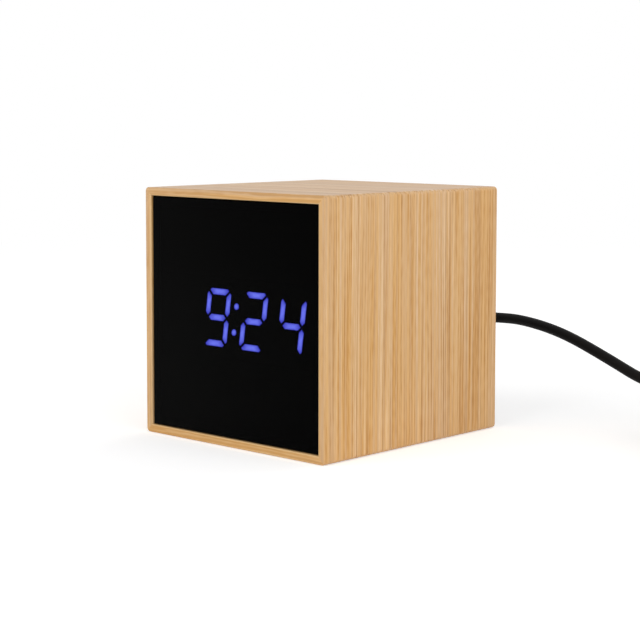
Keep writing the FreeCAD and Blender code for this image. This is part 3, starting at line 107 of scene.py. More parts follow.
STRAP_CLEAR, STRAP_EDGE, STRAP_STEP = 0.05, 0.1, 3.75
STRAP_LAP_START, STRAP_LAP_END, STRAP_LAP_GAP = 35.0, 118.0, 0.02
LIT_CORNER_RADIUS = 0.2
MARK_THICKNESS, MARK_EDGE, MARK_CORNER_RADIUS = 0.1, 0.02, 0.3
DIAL_OUTER_RADIUS, DIAL_INNER_RADIUS = 1.75, 1.45
HAND_WIDTH, SHORT_HAND, LONG_HAND = 0.3, 0.75, 1.05
ARROW_WIDTH, ARROW_HEIGHT = 2.6, 2.2
POINTER_WIDTH, POINTER_HEIGHT, POINTER_DISTANCE = 1.3, 2.1, 10.6
SIGN_DISTANCE = 15.4
SHUT_RADIUS, OPEN_OUTER_RADIUS, OPEN_INNER_RADIUS = 0.75, 0.85, 0.55


# Shared helpers

def add_object(name, data):
    """A new object in the scene, made from a mesh, curve, camera or lamp."""
    made = bpy.data.objects.new(name, data)
    bpy.context.scene.collection.objects.link(made)
    return made


def join_rings(shape, ring, following):
    """Faces between two closed rings with the same number of points."""
    count = len(ring)
    for i in range(count):
        k = (i + 1) % count
        shape.faces.new((ring[i], ring[k], following[k], following[i]))


def mesh_from(name, shape):
    """The finished mesh of a closed shape, with its faces looking outwards."""
    bmesh.ops.recalc_face_normals(shape, faces=shape.faces)
    mesh = bpy.data.meshes.new(name)
    shape.to_mesh(mesh)
    shape.free()
    return mesh


# Camera

def make_camera():
    """The photograph's view: three-quarter front, a little above the clock."""
    turn, tilt, roll = math.radians(42.973), math.radians(4.452), math.radians(0.075)
    place = Vector((0.27907, -0.30042, 0.07924))
    camera = bpy.data.cameras.new("photo_camera")
    camera.lens = 93.61
    camera.sensor_width = 36.0
    camera.shift_y = -0.125
    camera.clip_start, camera.clip_end = 0.01, 20.0
    eye = add_object("photo_camera", camera)
    upright = Matrix.Rotation(turn, 4, "Z") @ Matrix.Rotation(math.pi / 2 - tilt, 4, "X")
    eye.matrix_world = Matrix.Translation(place) @ upright @ Matrix.Rotation(roll, 4, "Z")
    bpy.context.scene.camera = eye


make_camera()


# Cord

def coil_point(turn):
    """The cord's control point in the coil, that many turns after its start on top."""
    layer_turns = (COIL_TURNS - COIL_DROP_TURNS * (COIL_LAYERS - 1)) / COIL_LAYERS
    stage = layer_turns + COIL_DROP_TURNS
    layer = min(int(turn / stage), COIL_LAYERS - 1)
    into = turn - layer * stage
    share = min(into, layer_turns) / layer_turns
    outwards = share - 0.5 if layer % 2 else 0.5 - share
    radius = COIL_MEAN_RADIUS + COIL_PITCH * layer_turns * outwards
    sunk = layer
    if into > layer_turns:
        sunk += (1 - math.cos(math.pi * (into - layer_turns) / COIL_DROP_TURNS)) / 2
    # The spline passes inside its control points, so these lie a little further out
    half_step = math.pi / COIL_POINTS_PER_TURN
    radius *= 2 / (1 + math.cos(half_step) ** 2)
    angle = math.radians(90 - 360 * turn)
    return (
        COIL_CENTRE.x + radius * math.cos(angle),
        COIL_CENTRE.y + radius * math.sin(angle),
        COIL_BOTTOM + (COIL_LAYERS - 1 - sunk) * COIL_RISE,
    )


def cord_points():
    """The whole cord's control points: the lead, the coil and the tail to the flat plug."""
    x, y, z = coil_point(0.0)
    start = (x - CORD_DIAMETER, y, z)
    before = (start[0] - LEAD_ARRIVE_RUN, y, z)
    count = round(COIL_TURNS * COIL_POINTS_PER_TURN)
    coil = [coil_point(COIL_TURNS * i / count) for i in range(count + 1)]
    x, y, z = coil[-1]
    way = math.radians(-COIL_EXIT_TURN)
    tail = []
    for run, height in enumerate([COIL_BOTTOM] * 2 + [TAIL_END_HEIGHT] * 2):
        reach = CORD_DIAMETER + run * TAIL_RUN
        tail.append((x + reach * math.cos(way), y + reach * math.sin(way), height))
    return LEAD_POINTS + [before, start] + coil + tail


def make_cord():
    """The cord as one smooth tube."""
    points = cord_points()
    curve = bpy.data.curves.new("power_cord", "CURVE")
    curve.dimensions = "3D"
    spline = curve.splines.new("NURBS")
    spline.points.add(len(points) - 1)
    for knot, (x, y, z) in zip(spline.points, points):
        knot.co = (x * MM, y * MM, z * MM, 1.0)
        knot.radius = CORD_DIAMETER / 2 * MM
    spline.order_u = 3
    spline.use_endpoint_u = True
    spline.resolution_u = 6
    curve.bevel_depth = 1.0
    curve.bevel_resolution = 6
    curve.use_fill_caps = True
    return add_object("power_cord", curve)


def turns_under_strap(offset):
    """Each turn's distance from the coil's axis and height, in a plane beside the strap's middle."""
    found = []
    turn = (90 - STRAP_ANGLE) / 360 % 1
    while turn < COIL_TURNS:
        radius = (Vector(coil_point(turn)[:2]) - COIL_CENTRE).length
        swing = math.asin(offset / radius)
        beside = Vector(coil_point(turn - swing / (2 * math.pi)))
        radius = (beside.xy - COIL_CENTRE).length
        found.append(Vector((radius * math.cos(swing), beside.z)))
        turn += 1
    return found


def strap_layer(shape, low, high, first, last):
    """A band drawn tight over the turns, between two heights over them and two angles round them."""
    half = STRAP_WIDTH / 2
    flat = (STRAP_EDGE - half, -half / 2, 0.0, half / 2, half - STRAP_EDGE)
    outside = [(offset, high) for offset in flat]
    outside = [(-half, high - STRAP_EDGE)] + outside + [(half, high - STRAP_EDGE)]
    inside = [(offset, low + high - height) for offset, height in reversed(outside)]
    closed = last - first >= 360
    steps = round((last - first) / STRAP_STEP)
    rings = []
    for i in range(steps + (0 if closed else 1)):
        angle = math.radians(first + (last - first) * i / steps)
        way = Vector((math.cos(angle), math.sin(angle)))
        ring = []
        for offset, height in outside + inside:
            outermost = max(turns_under_strap(offset), key=way.dot)
            spot = outermost + way * (CORD_DIAMETER / 2 + height)
            ring.append(shape.verts.new((spot.x * MM, offset * MM, spot.y * MM)))
        rings.append(ring)
    for ring, following in zip(rings, rings[1:]):
        join_rings(shape, ring, following)
    if closed:
        join_rings(shape, rings[-1], rings[0])
    else:
        shape.faces.new(rings[0])
        shape.faces.new(rings[-1])


def make_strap():
    """The strap round the put-away turns, with its end pressed down over its start."""
    shape = bmesh.new()
    low, high = STRAP_CLEAR, STRAP_CLEAR + STRAP_THICKNESS
    strap_layer(shape, low, high, 0.0, 360.0)
    strap_layer(shape, high + STRAP_LAP_GAP, high + STRAP_THICKNESS, STRAP_LAP_START, STRAP_LAP_END)
    for face in shape.faces:
        face.smooth = True
    mesh = mesh_from("coil_strap", shape)
    turn = Matrix.Rotation(math.radians(STRAP_ANGLE), 4, "Z")
    mesh.transform(Matrix.Translation(COIL_CENTRE.to_3d() * MM) @ turn)
    return add_object("coil_strap", mesh)


strap = make_strap()
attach(strap, "clock")
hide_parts("coil_tie")
cord = make_cord()
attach(cord, "clock")
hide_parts("cord_lead", "cord_coil", "cord_tail")


# Colours and node helpers

def srgb(red, green, blue):
    """A colour given as the eight-bit values of a picture, as the shader needs it."""
    def channel(value):
        value /= 255
        return value / 12.92 if value <= 0.04045 else ((value + 0.055) / 1.055) ** 2.4
    return (channel(red), channel(green), channel(blue), 1.0)


def grey(value):
    """A neutral colour of that strength."""
    return (value, value, value, 1.0)


def times(colour, factor):
    """A colour made darker by a factor below 1, or lighter by one above it."""
    return tuple(min(1.0, channel * factor) for channel in colour[:3]) + (1.0,)


class Nodes:
    """A node tree, with a short call for each kind of node."""

    def __init__(self, tree):
        self.tree = tree
        self.tree.nodes.clear()

    def node(self, kind, **settings):
        """A new node with those settings."""
        made = self.tree.nodes.new(kind)
        for name, value in settings.items():
            setattr(made, name, value)
        return made

    def put(self, socket, value):
        """Links a socket, or sets a plain number or colour."""
        if isinstance(value, bpy.types.NodeSocket):
            self.tree.links.new(value, socket)
        else:
            socket.default_value = value

    def filled(self, kind, *values, **settings):
        """A new node whose first inputs have those values."""
        made = self.node(kind, **settings)
        for socket, value in zip(made.inputs, values):
            self.put(socket, value)
        return made

    def math(self, operation, *values):
        return self.filled("ShaderNodeMath", *values, operation=operation).outputs[0]

    def add(self, a, b):
        return self.math("ADD", a, b)

    def multiply(self, a, b):
        return self.math("MULTIPLY", a, b)

    def line(self, value, slope, start):
        """A value times its slope, plus a start."""
        return self.math("MULTIPLY_ADD", value, slope, start)

    def total(self, terms):
        """The sum of (amount, value) pairs, each the product of its two."""
        so_far = 0.0
        for amount, value in terms:
            so_far = self.line(value, amount, so_far)
        return so_far

    def split(self, vector):
        made = self.filled("ShaderNodeSeparateXYZ", vector)
        return made.outputs[0], made.outputs[1], made.outputs[2]

    def join(self, x, y, z):
        return self.filled("ShaderNodeCombineXYZ", x, y, z).outputs[0]

    def scaled(self, vector, scale):
        """A vector times one number for each axis."""
        return self.filled("ShaderNodeVectorMath", vector, scale, operation="MULTIPLY").outputs[0]

    def noise(self, vector, scale=1.0, detail=2.0, rough=0.5):
        made = self.node("ShaderNodeTexNoise")
        self.put(made.inputs["Vector"], vector)
        self.put(made.inputs["Scale"], scale)
        self.put(made.inputs["Detail"], detail)
        self.put(made.inputs["Roughness"], rough)
        return made.outputs["Fac"]

    def random(self, value):
        """A number from -1 to 1 that depends on the value alone."""
        made = self.node("ShaderNodeTexWhiteNoise", noise_dimensions="1D")
        self.put(made.inputs["W"], value)
        return self.line(made.outputs["Value"], 2.0, -1.0)

    def step(self, value, low, high, start=0.0, end=1.0):
        """A smooth step from start to end, as the value goes from low to high."""
        values = (value, low, high, start, end)
        return self.filled("ShaderNodeMapRange", *values, interpolation_type="SMOOTHSTEP").outputs[0]

    def cells(self, flat, scale, **settings):
        """The distance output of a cell pattern on a plane."""
        made = self.node("ShaderNodeTexVoronoi", **settings)
        self.put(made.inputs["Vector"], flat)
        self.put(made.inputs["Scale"], scale)
        return made.outputs["Distance"]

    def mix(self, share, a, b):
        """Colour a, or colour b where the share is 1."""
        made = self.node("ShaderNodeMix", data_type="RGBA")
        self.put(made.inputs["Factor"], share)
        self.put(made.inputs[6], a)
        self.put(made.inputs[7], b)
        return made.outputs[2]

    def ramp(self, value, stops):
        """A colour ramp from (place, red, green, blue) stops."""
        made = self.filled("ShaderNodeValToRGB", value)
        elements = made.color_ramp.elements
        while len(elements) < len(stops):
            elements.new(0.5)
        for element, (place, *colour) in zip(elements, stops):
            element.position, element.color = place, srgb(*colour)
        return made.outputs[0]

    def rays_that_see(self):
        """1 for the rays that show what they meet: the camera's own, in gloss and through glass."""
        path = self.node("ShaderNodeLightPath").outputs
        seen = self.add(path["Is Camera Ray"], path["Is Glossy Ray"])
        return self.math("MINIMUM", self.add(seen, path["Is Transmission Ray"]), 1.0)


class Shader(Nodes):
    """A new material's node tree."""

    def __init__(self, name):
        self.material = bpy.data.materials.new(name)
        self.material.use_nodes = True
        super().__init__(self.material.node_tree)
        self.output = self.node("ShaderNodeOutputMaterial")
        self.place = self.node("ShaderNodeTexCoord").outputs["Object"]

    def millimetres(self):
        """The object's own coordinates in millimetres."""
        return self.scaled(self.place, (1000.0,) * 3)

    def bump(self, height, depth, strength):
        """A bump whose full height is a depth in millimetres."""
        made = self.node("ShaderNodeBump")
        self.put(made.inputs["Height"], height)
        self.put(made.inputs["Distance"], depth * MM)
        self.put(made.inputs["Strength"], strength)
        return made.outputs[0]

    def surface(self, **inputs):
        """The main shader, with an underscore for each space in an input's name; gives the material."""
        made = self.node("ShaderNodeBsdfPrincipled")
        for name, value in inputs.items():
            self.put(made.inputs[name.replace("_", " ")], value)
        self.tree.links.new(made.outputs[0], self.output.inputs["Surface"])
        return self.material


# Bamboo

# Each kind of streak: how many per millimetre across and along the fibres, and a shift in the pattern
BAMBOO_STREAKS = {
    "hair": (2.8, 0.020, 3.0),
    "fine": (1.5, 0.012, 11.0),
    "middle": (0.7, 0.010, 23.0),
    "broad": (0.27, 0.007, 37.0),
    "wide": (0.11, 0.006, 53.0),
    "flecks": (2.3, 0.30, 67.0),
    "crowds": (0.16, 0.007, 71.0),
    "tint": (1.2, 0.010, 89.0),
    "vessels": (1.6, 0.009, 101.0),
    "pale": (1.4, 0.010, 113.0),
}
GOLDEN_BAMBOO = [
    (0.0, 172, 112, 40),
    (0.35, 200, 148, 81),
    (0.55, 213, 167, 107),
    (0.8, 219, 177, 121),
    (1.0, 228, 192, 142),
]
ROSY_BAMBOO = [
    (0.0, 162, 109, 52),
    (0.35, 189, 144, 91),
    (0.55, 203, 162, 117),
    (0.8, 210, 173, 131),
    (1.0, 220, 188, 152),
]
BAMBOO_STRIP_WIDTH, BAMBOO_STRIP_START = 5.3, 3.1
BAMBOO_END_FROM, BAMBOO_END_TO = CASE_DEPTH / 2 - 0.45, CASE_DEPTH / 2 - 0.3


def bamboo_streaks(m, across, inward, along):
    """Noise drawn out along the fibres, from about -1 to 1, for each kind of streak."""
    found = {}
    for name, (per_mm, along_per_mm, shift) in BAMBOO_STREAKS.items():
        place = m.join(
            m.line(across, per_mm, shift),
            m.line(inward, per_mm * 0.8, shift * 0.7),
            m.line(along, along_per_mm, shift * 1.3),
        )
        found[name] = m.line(m.noise(place, detail=0.0), 4.0, -2.0)
    return found


def bamboo(name, upright):
    """Pressed bamboo: strips side by side along Y, with fibres that run up or from side to side."""
    m = Shader(name)
    x, y, z = m.split(m.millimetres())
    along, depth = (z, x) if upright else (x, z)
    near_end = m.step(m.math("ABSOLUTE", y), BAMBOO_END_FROM, BAMBOO_END_TO)
    # The fibres sway to the side as they run, and wander inwards, most on a level board's ends
    sway_place = m.join(m.multiply(along, 0.014), m.multiply(y, 0.10), m.multiply(depth, 0.05))
    across = m.add(y, m.line(m.noise(sway_place, detail=1.0), 1.3, -0.65))
    wander = m.noise(m.join(m.multiply(along, 0.045), 0.0, m.multiply(depth, 0.15)), detail=1.0)
    wander_size = m.line(near_end, 0.0 if upright else 1.25, 0.15)
    inward = m.line(m.add(wander, -0.5), wander_size, depth)
    streak = bamboo_streaks(m, across, inward, along)

    crowds = m.step(streak["crowds"], -0.5, 0.7, 0.6, 1.3)
    vessels = m.step(streak["vessels"], 0.34, 0.66)
    pale = m.step(streak["pale"], 0.35, 0.85)
    strip = m.math("FLOOR", m.math("DIVIDE", m.add(y, BAMBOO_STRIP_START), BAMBOO_STRIP_WIDTH))
    strip_tone = m.random(m.add(strip, 17.0))
    strip_hue = m.random(m.add(strip, 41.0))
    end_contrast, end_tone, end_hue = (-0.6, 0.0, -0.2) if upright else (0.35, -0.06, -0.3)

    lines = m.total([
        (0.28, streak["hair"]),
        (0.07, streak["fine"]),
        (0.03, streak["middle"]),
        (-0.14, vessels),
        (0.06, pale),
    ])
    lines = m.multiply(m.multiply(lines, crowds), m.line(near_end, end_contrast, 1.0))
    tone = m.total([
        (1.0, lines),
        (0.045, streak["broad"]),
        (0.05, streak["wide"]),
        (0.03, strip_tone),
        (0.085, streak["flecks"]),
        (end_tone, near_end),
    ])
    tone = m.math("MAXIMUM", m.add(tone, 0.56), m.multiply(near_end, 0.4))
    hue = m.total([
        (0.2, strip_hue),
        (0.25, streak["broad"]),
        (0.6, streak["tint"]),
        (-0.35, vessels),
        (end_hue, near_end),
    ])
    rosy_share = m.math("MINIMUM", m.math("MAXIMUM", m.add(hue, 0.53), 0.0), 1.0)
    base = m.mix(rosy_share, m.ramp(tone, GOLDEN_BAMBOO), m.ramp(tone, ROSY_BAMBOO))

    # A painted highlight: the ends' inner edges are made paler, standing in for the light they catch
    middle, inner_face = (0.0, CASE_WIDTH / 2) if upright else (CASE_HEIGHT / 2, CASE_HEIGHT / 2)
    inner_face -= CASE_WALL
    from_middle = m.math("ABSOLUTE", m.add(depth, -middle))
    near_inner = m.step(from_middle, inner_face + 0.34, inner_face + 0.20)
    painted_highlight_share = m.multiply(m.multiply(near_inner, near_end), 0.5)
    base = m.mix(painted_highlight_share, base, srgb(226, 192, 138))

    return m.surface(
        Base_Color=base,
        Roughness=m.line(lines, -0.12, 0.38),
        IOR=1.5,
        Specular_IOR_Level=0.3,
        Normal=m.bump(tone, 0.03, 0.5),
    )


# Other materials

def plastic(name, colour, rough, grain=0.0, grain_scale=3.0, specular=0.5):
    """Moulded plastic: a slightly uneven tone and sheen, and a fine cast texture where asked."""
    m = Shader(name)
    place = m.millimetres()
    cloud = m.noise(place, 0.12, 3.0)
    speck = m.noise(place, grain_scale, 2.0, 0.6)
    share = m.line(cloud, 0.8, m.line(speck, 0.5, -0.3))
    inputs = dict(
        Base_Color=m.mix(share, times(colour, 0.78), colour),
        Roughness=m.line(speck, 0.12, rough - 0.06),
        IOR=1.5,
        Specular_IOR_Level=specular,
    )
    if grain:
        inputs["Normal"] = m.bump(speck, grain, 0.7)
    return m.surface(**inputs)


def metal(name, colour, rough, brushed=(1.0, 1.0, 1.0)):
    """Plated or rolled metal with fine marks along one direction and a slightly cloudy sheen."""
    m = Shader(name)
    place = m.millimetres()
    marks = m.noise(m.scaled(place, brushed), 6.0, 3.0, 0.6)
    cloud = m.noise(place, 0.35, 2.0)
    share = m.line(cloud, 0.9, m.line(marks, 0.4, -0.2))
    return m.surface(
        Base_Color=m.mix(share, times(colour, 0.8), colour),
        Metallic=1.0,
        Roughness=m.line(marks, 0.14, m.line(cloud, 0.08, rough - 0.11)),
        Normal=m.bump(marks, 0.004, 0.5),
    )


def tinted_panel():
    """The dark see-through front: it swallows nearly all light, so only lit segments show."""
    m = Shader("tinted_panel")
    haze = m.noise(m.millimetres(), 0.05, 2.0)
    return m.surface(
        Base_Color=m.mix(haze, srgb(20, 20, 24), srgb(21, 22, 25)),
        Roughness=m.line(haze, 0.012, 0.015),
        IOR=1.13,
        Specular_Tint=grey(0.05),
        Transmission_Weight=1.0,
    )


def glowing_resin():
    """Blue-violet resin lit from behind: brightest in the middle, deeper blue at the rim."""
    m = Shader("lit_resin")
    glow = m.node("ShaderNodeAttribute", attribute_name="glow").outputs["Fac"]
    patch = m.noise(m.millimetres(), 0.9, 2.0)
    level = m.add(glow, m.line(patch, 0.5, -0.25))
    return m.surface(
        Base_Color=srgb(60, 60, 120),
        Roughness=0.5,
        Emission_Color=m.mix(level, srgb(38, 38, 150), srgb(112, 120, 222)),
        Emission_Strength=125.0,
    )


def circuit_board(name):
    """Green solder mask over copper tracks, with pale pads here and there."""
    m = Shader(name)
    x, _, z = m.split(m.millimetres())
    flat = m.join(x, z, 0.0)
    to_track = m.cells(flat, 0.42, feature="DISTANCE_TO_EDGE", distance="MANHATTAN")
    track = m.step(to_track, 0.10, 0.06)
    pad = m.step(m.cells(flat, 0.25), 0.17, 0.13)
    weave = m.noise(m.scaled(flat, (1.0, 6.0, 1.0)), 1.5, 2.0)
    base = m.mix(track, srgb(22, 74, 46), srgb(38, 104, 62))
    base = m.mix(m.multiply(weave, 0.25), base, srgb(14, 52, 34))
    base = m.mix(pad, base, srgb(196, 196, 188))
    return m.surface(
        Base_Color=base,
        Roughness=m.line(weave, 0.15, 0.3),
        Metallic=m.multiply(pad, 0.8),
        Normal=m.bump(m.add(track, pad), 0.03, 0.8),
    )


def woven(name, colour):
    """A woven strap: fine ribs both ways."""
    m = Shader(name)
    x, y, z = m.split(m.millimetres())
    warp = m.math("SINE", m.multiply(m.add(x, y), 9.0))
    weft = m.math("SINE", m.multiply(m.add(z, m.math("SUBTRACT", x, y)), 9.0))
    rib = m.line(m.multiply(warp, weft), 0.5, 0.5)
    fuzz = m.noise(m.millimetres(), 8.0, 3.0)
    return m.surface(
        Base_Color=m.mix(m.multiply(rib, fuzz), colour, times(colour, 2.2)),
        Roughness=0.9,
        Specular_IOR_Level=0.25,
        Normal=m.bump(m.add(rib, fuzz), 0.08, 0.8),
    )


# Which material each piece has

def dress(material, *names):
    """Gives a material to the CAD nodes of those names."""
    for name in names:
        mesh = nodes[name].data
        mesh.materials.clear()
        mesh.materials.append(material)


def dress_front():
    """The case and the display behind the panel."""
    dress(bamboo("bamboo_upright", True), "case_left", "case_right")
    dress(bamboo("bamboo_level", False), "case_top", "case_bottom")
    dress(tinted_panel(), "front_lens")
    face = plastic("display_face", srgb(15, 14, 14), rough=0.8, grain_scale=2.0, specular=0.15)
    dress(face, "display_housing")
    unlit = plastic("unlit_resin", srgb(16, 15, 16), rough=0.7, grain_scale=2.0, specular=0.15)
    dress(unlit, "dark_segments")
    tape = plastic(
        "sticky_tape", srgb(20, 20, 20), rough=0.9, grain=0.03, grain_scale=4.0, specular=0.2
    )
    dress(tape, "lens_tape")


def dress_plastics():
    """The cover, the buttons, the plugs and the parts on the boards."""
    cover = plastic("cover_plastic", srgb(30, 30, 31), rough=0.55, grain=0.05, grain_scale=2.6)
    dress(cover, "rear_cover", "inner_frame", "battery_door")
    button = plastic("button_plastic", srgb(44, 44, 46), rough=0.42, grain=0.02, grain_scale=4.0)
    dress(button, "set_button", "down_button", "up_button", "capacitor")
    chip = plastic("chip_resin", srgb(36, 36, 38), rough=0.6, grain=0.03, grain_scale=5.0)
    dress(chip, "controller_chip", "chip_resistors", "power_socket", "buzzer", "coin_holder")
    dress(chip, "switch_bodies", "set_plunger", "down_plunger", "up_plunger")
    pale = plastic("pale_plastic", srgb(226, 219, 198), rough=0.45, grain_scale=2.0)
    dress(pale, "display_header", "rear_header", "usb_tongue")
    dress(plastic("wire_sleeve", srgb(150, 34, 30), rough=0.4), "harness_wires")
    plug = plastic("plug_plastic", srgb(27, 26, 26), rough=0.5, grain=0.03)
    dress(plug, "power_plug", "plug_relief", "usb_relief", "usb_body")


def dress_metals():
    """Pins, screws, cans, the backup cell and the plugs' metal."""
    tinned = metal("tinned", srgb(205, 204, 200), rough=0.32)
    dress(tinned, "display_pins", "controller_leads", "switch_plates", "socket_lugs")
    dress(tinned, "coin_contact", "coin_clip")
    zinc = metal("zinc", srgb(150, 150, 154), rough=0.36)
    dress(zinc, "display_board_screws", "rear_board_screws", "cover_screws")
    can = metal("can_metal", srgb(205, 207, 212), rough=0.35, brushed=(1.0, 0.1, 1.0))
    dress(can, "crystal", "microphone")
    cell = metal("cell_steel", srgb(200, 200, 202), rough=0.28, brushed=(1.0, 1.0, 0.1))
    dress(cell, "coin_cell")
    plug = metal("plug_metal", srgb(214, 214, 216), rough=0.24, brushed=(0.1, 1.0, 1.0))
    dress(plug, "plug_barrel", "usb_shell")
    dress(metal("gold", srgb(222, 184, 104), rough=0.25), "socket_pin", "usb_contacts")


def dress_cord():
    """The cord's sleeve and the strap round its turns."""
    sleeve = plastic(
        "cord_sleeve", srgb(15, 12, 11), rough=0.62, grain=0.012, grain_scale=4.0, specular=0.12
    )
    cord.data.materials.append(sleeve)
    strap.data.materials.append(woven("strap", srgb(34, 34, 36)))


dress_front()
dress_plastics()
dress_metals()
dress(circuit_board("board"), "display_board", "rear_board")
dress_cord()


# Outlines for the digits and the marks, in millimetres

def softened(outline, radius, steps=4):
    """The outline with each corner rounded by up to that radius."""
    found = []
    count = len(outline)
    for i in range(count):
        corner = Vector(outline[i])
        before = Vector(outline[i - 1]) - corner
        after = Vector(outline[(i + 1) % count]) - corner
        reach = min(radius, 0.4 * before.length, 0.4 * after.length)
        start = corner + before.normalized() * reach
        end = corner + after.normalized() * reach
        for k in range(steps + 1):
            share = k / steps
            found.append(start.lerp(corner, share).lerp(corner.lerp(end, share), share))
    return found


def circle_outline(radius, centre=(0.0, 0.0), count=40):
    """Points round a circle."""
    angles = [2 * math.pi * i / count for i in range(count)]
    return [(centre[0] + radius * math.cos(a), centre[1] + radius * math.sin(a)) for a in angles]


def triangle_outline(width, height, up=1):
    """A triangle with softened corners that points up, or down where up is -1."""
    base = -up * height / 3
    corner_points = [(-width / 2, base), (width / 2, base), (0.0, up * height * 2 / 3)]
    return softened(corner_points, MARK_CORNER_RADIUS)


def segment_outlines():
    """The seven segments of an upright digit about the origin, by letter."""
    w, h, t = DIGIT_WIDTH / 2, DIGIT_HEIGHT / 2, SEGMENT_WIDTH
    mitre, half, cut = SEGMENT_GAP / math.sqrt(2), SEGMENT_WIDTH / 2, SEGMENT_CORNER_CUT
    top = [
        (mitre - w + cut, h),
        (w - mitre - cut, h),
        (w - mitre - cut / 2, h - cut / 2),
        (w - mitre - t, h - t),
        (mitre + t - w, h - t),
        (mitre - w + cut / 2, h - cut / 2),
    ]
    side = [
        (w, h - mitre - cut),
        (w - cut / 2, h - mitre - cut / 2),
        (w - t, h - mitre - t),
        (w - t, mitre + half),
        (w - half, mitre),
        (w, mitre + half),
    ]
    bar = w - half - mitre
    centre = [
        (-bar, 0),
        (half - bar, half),
        (bar - half, half),
        (bar, 0),
        (bar - half, -half),
        (half - bar, -half),
    ]

    def flipped(outline, x, z):
        return [(x * a, z * b) for a, b in outline]

    return {
        "a": top,
        "b": side,
        "c": flipped(side, 1, -1),
        "d": flipped(top, 1, -1),
        "e": flipped(side, -1, -1),
        "f": flipped(side, -1, 1),
        "g": centre,
    }


def digit_outlines():
    """(outline, shift to the side) of each lit segment."""
    shapes = segment_outlines()
    found = []
    for number, shown in enumerate(SHOWN_DIGITS):
        for letter in shown:
            found.append((shapes[letter], (number - 1.5) * DIGIT_PITCH))
    return found


def colon_outlines():
    """(outline, shift to the side) of the colon's two dots."""
    heights = (-COLON_SPACING / 2, COLON_SPACING / 2)
    return [(circle_outline(COLON_DIAMETER / 2, (0.0, height), 16), 0.0) for height in heights]


# Lit segments

# Rings of a lit face, from its rim inwards: their size, and how bright they are
GLOW_RINGS = [(1.0, 0.0), (0.86, 0.55), (0.6, 0.8), (0.3, 1.0)]
GLOW_FADE_TO_TIPS = 0.45


def glowing_solid(shape, glow, outline, shift):
    """One solid behind the panel, with a face whose points say how bright they are."""
    lean = math.tan(math.radians(DIGIT_SLANT))
    centre = sum(outline, Vector((0, 0))) / len(outline)
    longest = max((point - centre).length for point in outline)
    rings = []
    for size, level in GLOW_RINGS:
        ring = []
        for point in outline:
            spot = centre + (point - centre) * size
            away = (spot - centre).length / longest
            place = Vector((shift + spot.x + spot.y * lean, DISPLAY_FACE, DIGIT_MIDDLE + spot.y))
            vert = shape.verts.new(place * MM)
            vert[glow] = level * (1 - GLOW_FADE_TO_TIPS * away * away)
            ring.append(vert)
        rings.append(ring)
    for outer, inner in zip(rings, rings[1:]):
        join_rings(shape, outer, inner)
    shape.faces.new(rings[-1])
    back = [shape.verts.new(v.co + Vector((0, SEGMENT_DEPTH * MM, 0))) for v in rings[0]]
    join_rings(shape, rings[0], back)
    shape.faces.new(back)


def lit_piece(name, outlines, node, resin):
    """A piece of glowing solids that stands for a CAD node."""
    shape = bmesh.new()
    glow = shape.verts.layers.float.new("glow")
    for outline, shift in outlines:
        glowing_solid(shape, glow, softened(outline, LIT_CORNER_RADIUS), shift)
    piece = add_object(name, mesh_from(name, shape))
    piece.data.materials.append(resin)
    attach(piece, "clock")
    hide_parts(node)


def make_lit_pieces():
    """The lit digits and the colon."""
    resin = glowing_resin()
    lit_piece("glowing_segments", digit_outlines(), "lit_segments", resin)
    lit_piece("glowing_colon", colon_outlines(), "colon_dots", resin)


make_lit_pieces()


# Marks on the back

mark_paint = plastic("mark_paint", srgb(196, 196, 192), rough=0.6, grain_scale=6.0, specular=0.3)


def printed_mesh(name, outlines):
    """A thin flat shape with rounded edges; an outline inside another is a hole."""
    drawing = bpy.data.curves.new(name, "CURVE")
    drawing.dimensions = "2D"
    drawing.fill_mode = "BOTH"
    drawing.extrude = MARK_THICKNESS / 2 * MM
    drawing.bevel_depth = MARK_EDGE * MM
    drawing.bevel_resolution = 2
    drawing.offset = -MARK_EDGE * MM
    for outline in outlines:
        spline = drawing.splines.new("POLY")
        spline.points.add(len(outline) - 1)
        spline.use_cyclic_u = True
        for point, (a, b) in zip(spline.points, outline):
            point.co = (a * MM, b * MM, 0.0, 1.0)
    sketch = bpy.data.objects.new(name + "_outline", drawing)
    mesh = bpy.data.meshes.new_from_object(sketch)
    bpy.data.objects.remove(sketch)
    bpy.data.curves.remove(drawing)
    mesh.name = name
    return mesh


def printed_mark(name, body, outlines, spot):
    """A mark on a face that looks to the back, at a spot in millimetres."""
    mesh = printed_mesh(name, outlines)
    place = (spot + Vector((0, MARK_THICKNESS / 2, 0))) * MM
    facing_back = Matrix.Rotation(math.pi, 4, "Z") @ Matrix.Rotation(math.pi / 2, 4, "X")
    mesh.transform(Matrix.Translation(place) @ facing_back)
    mesh.materials.append(mark_paint)
    piece = add_object(name, mesh)
    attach(piece, body)


def mark_buttons():
    """A dial with its hands on the set button, and arrows on the other two."""
    dial = [circle_outline(DIAL_OUTER_RADIUS), circle_outline(DIAL_INNER_RADIUS)]
    printed_mark("set_mark_dial", "set_button", dial, rear_middle("set_button"))
    half = HAND_WIDTH / 2
    hands = [
        (-half, -half),
        (SHORT_HAND, -half),
        (SHORT_HAND, half),
        (half, half),
        (half, LONG_HAND),
        (-half, LONG_HAND),
    ]
    printed_mark("set_mark_hands", "set_button", [hands], rear_middle("set_button"))
    for name, up in (("down", -1), ("up", 1)):
        arrow = triangle_outline(ARROW_WIDTH, ARROW_HEIGHT, up)
        printed_mark(name + "_mark", name + "_button", [arrow], rear_middle(name + "_button"))


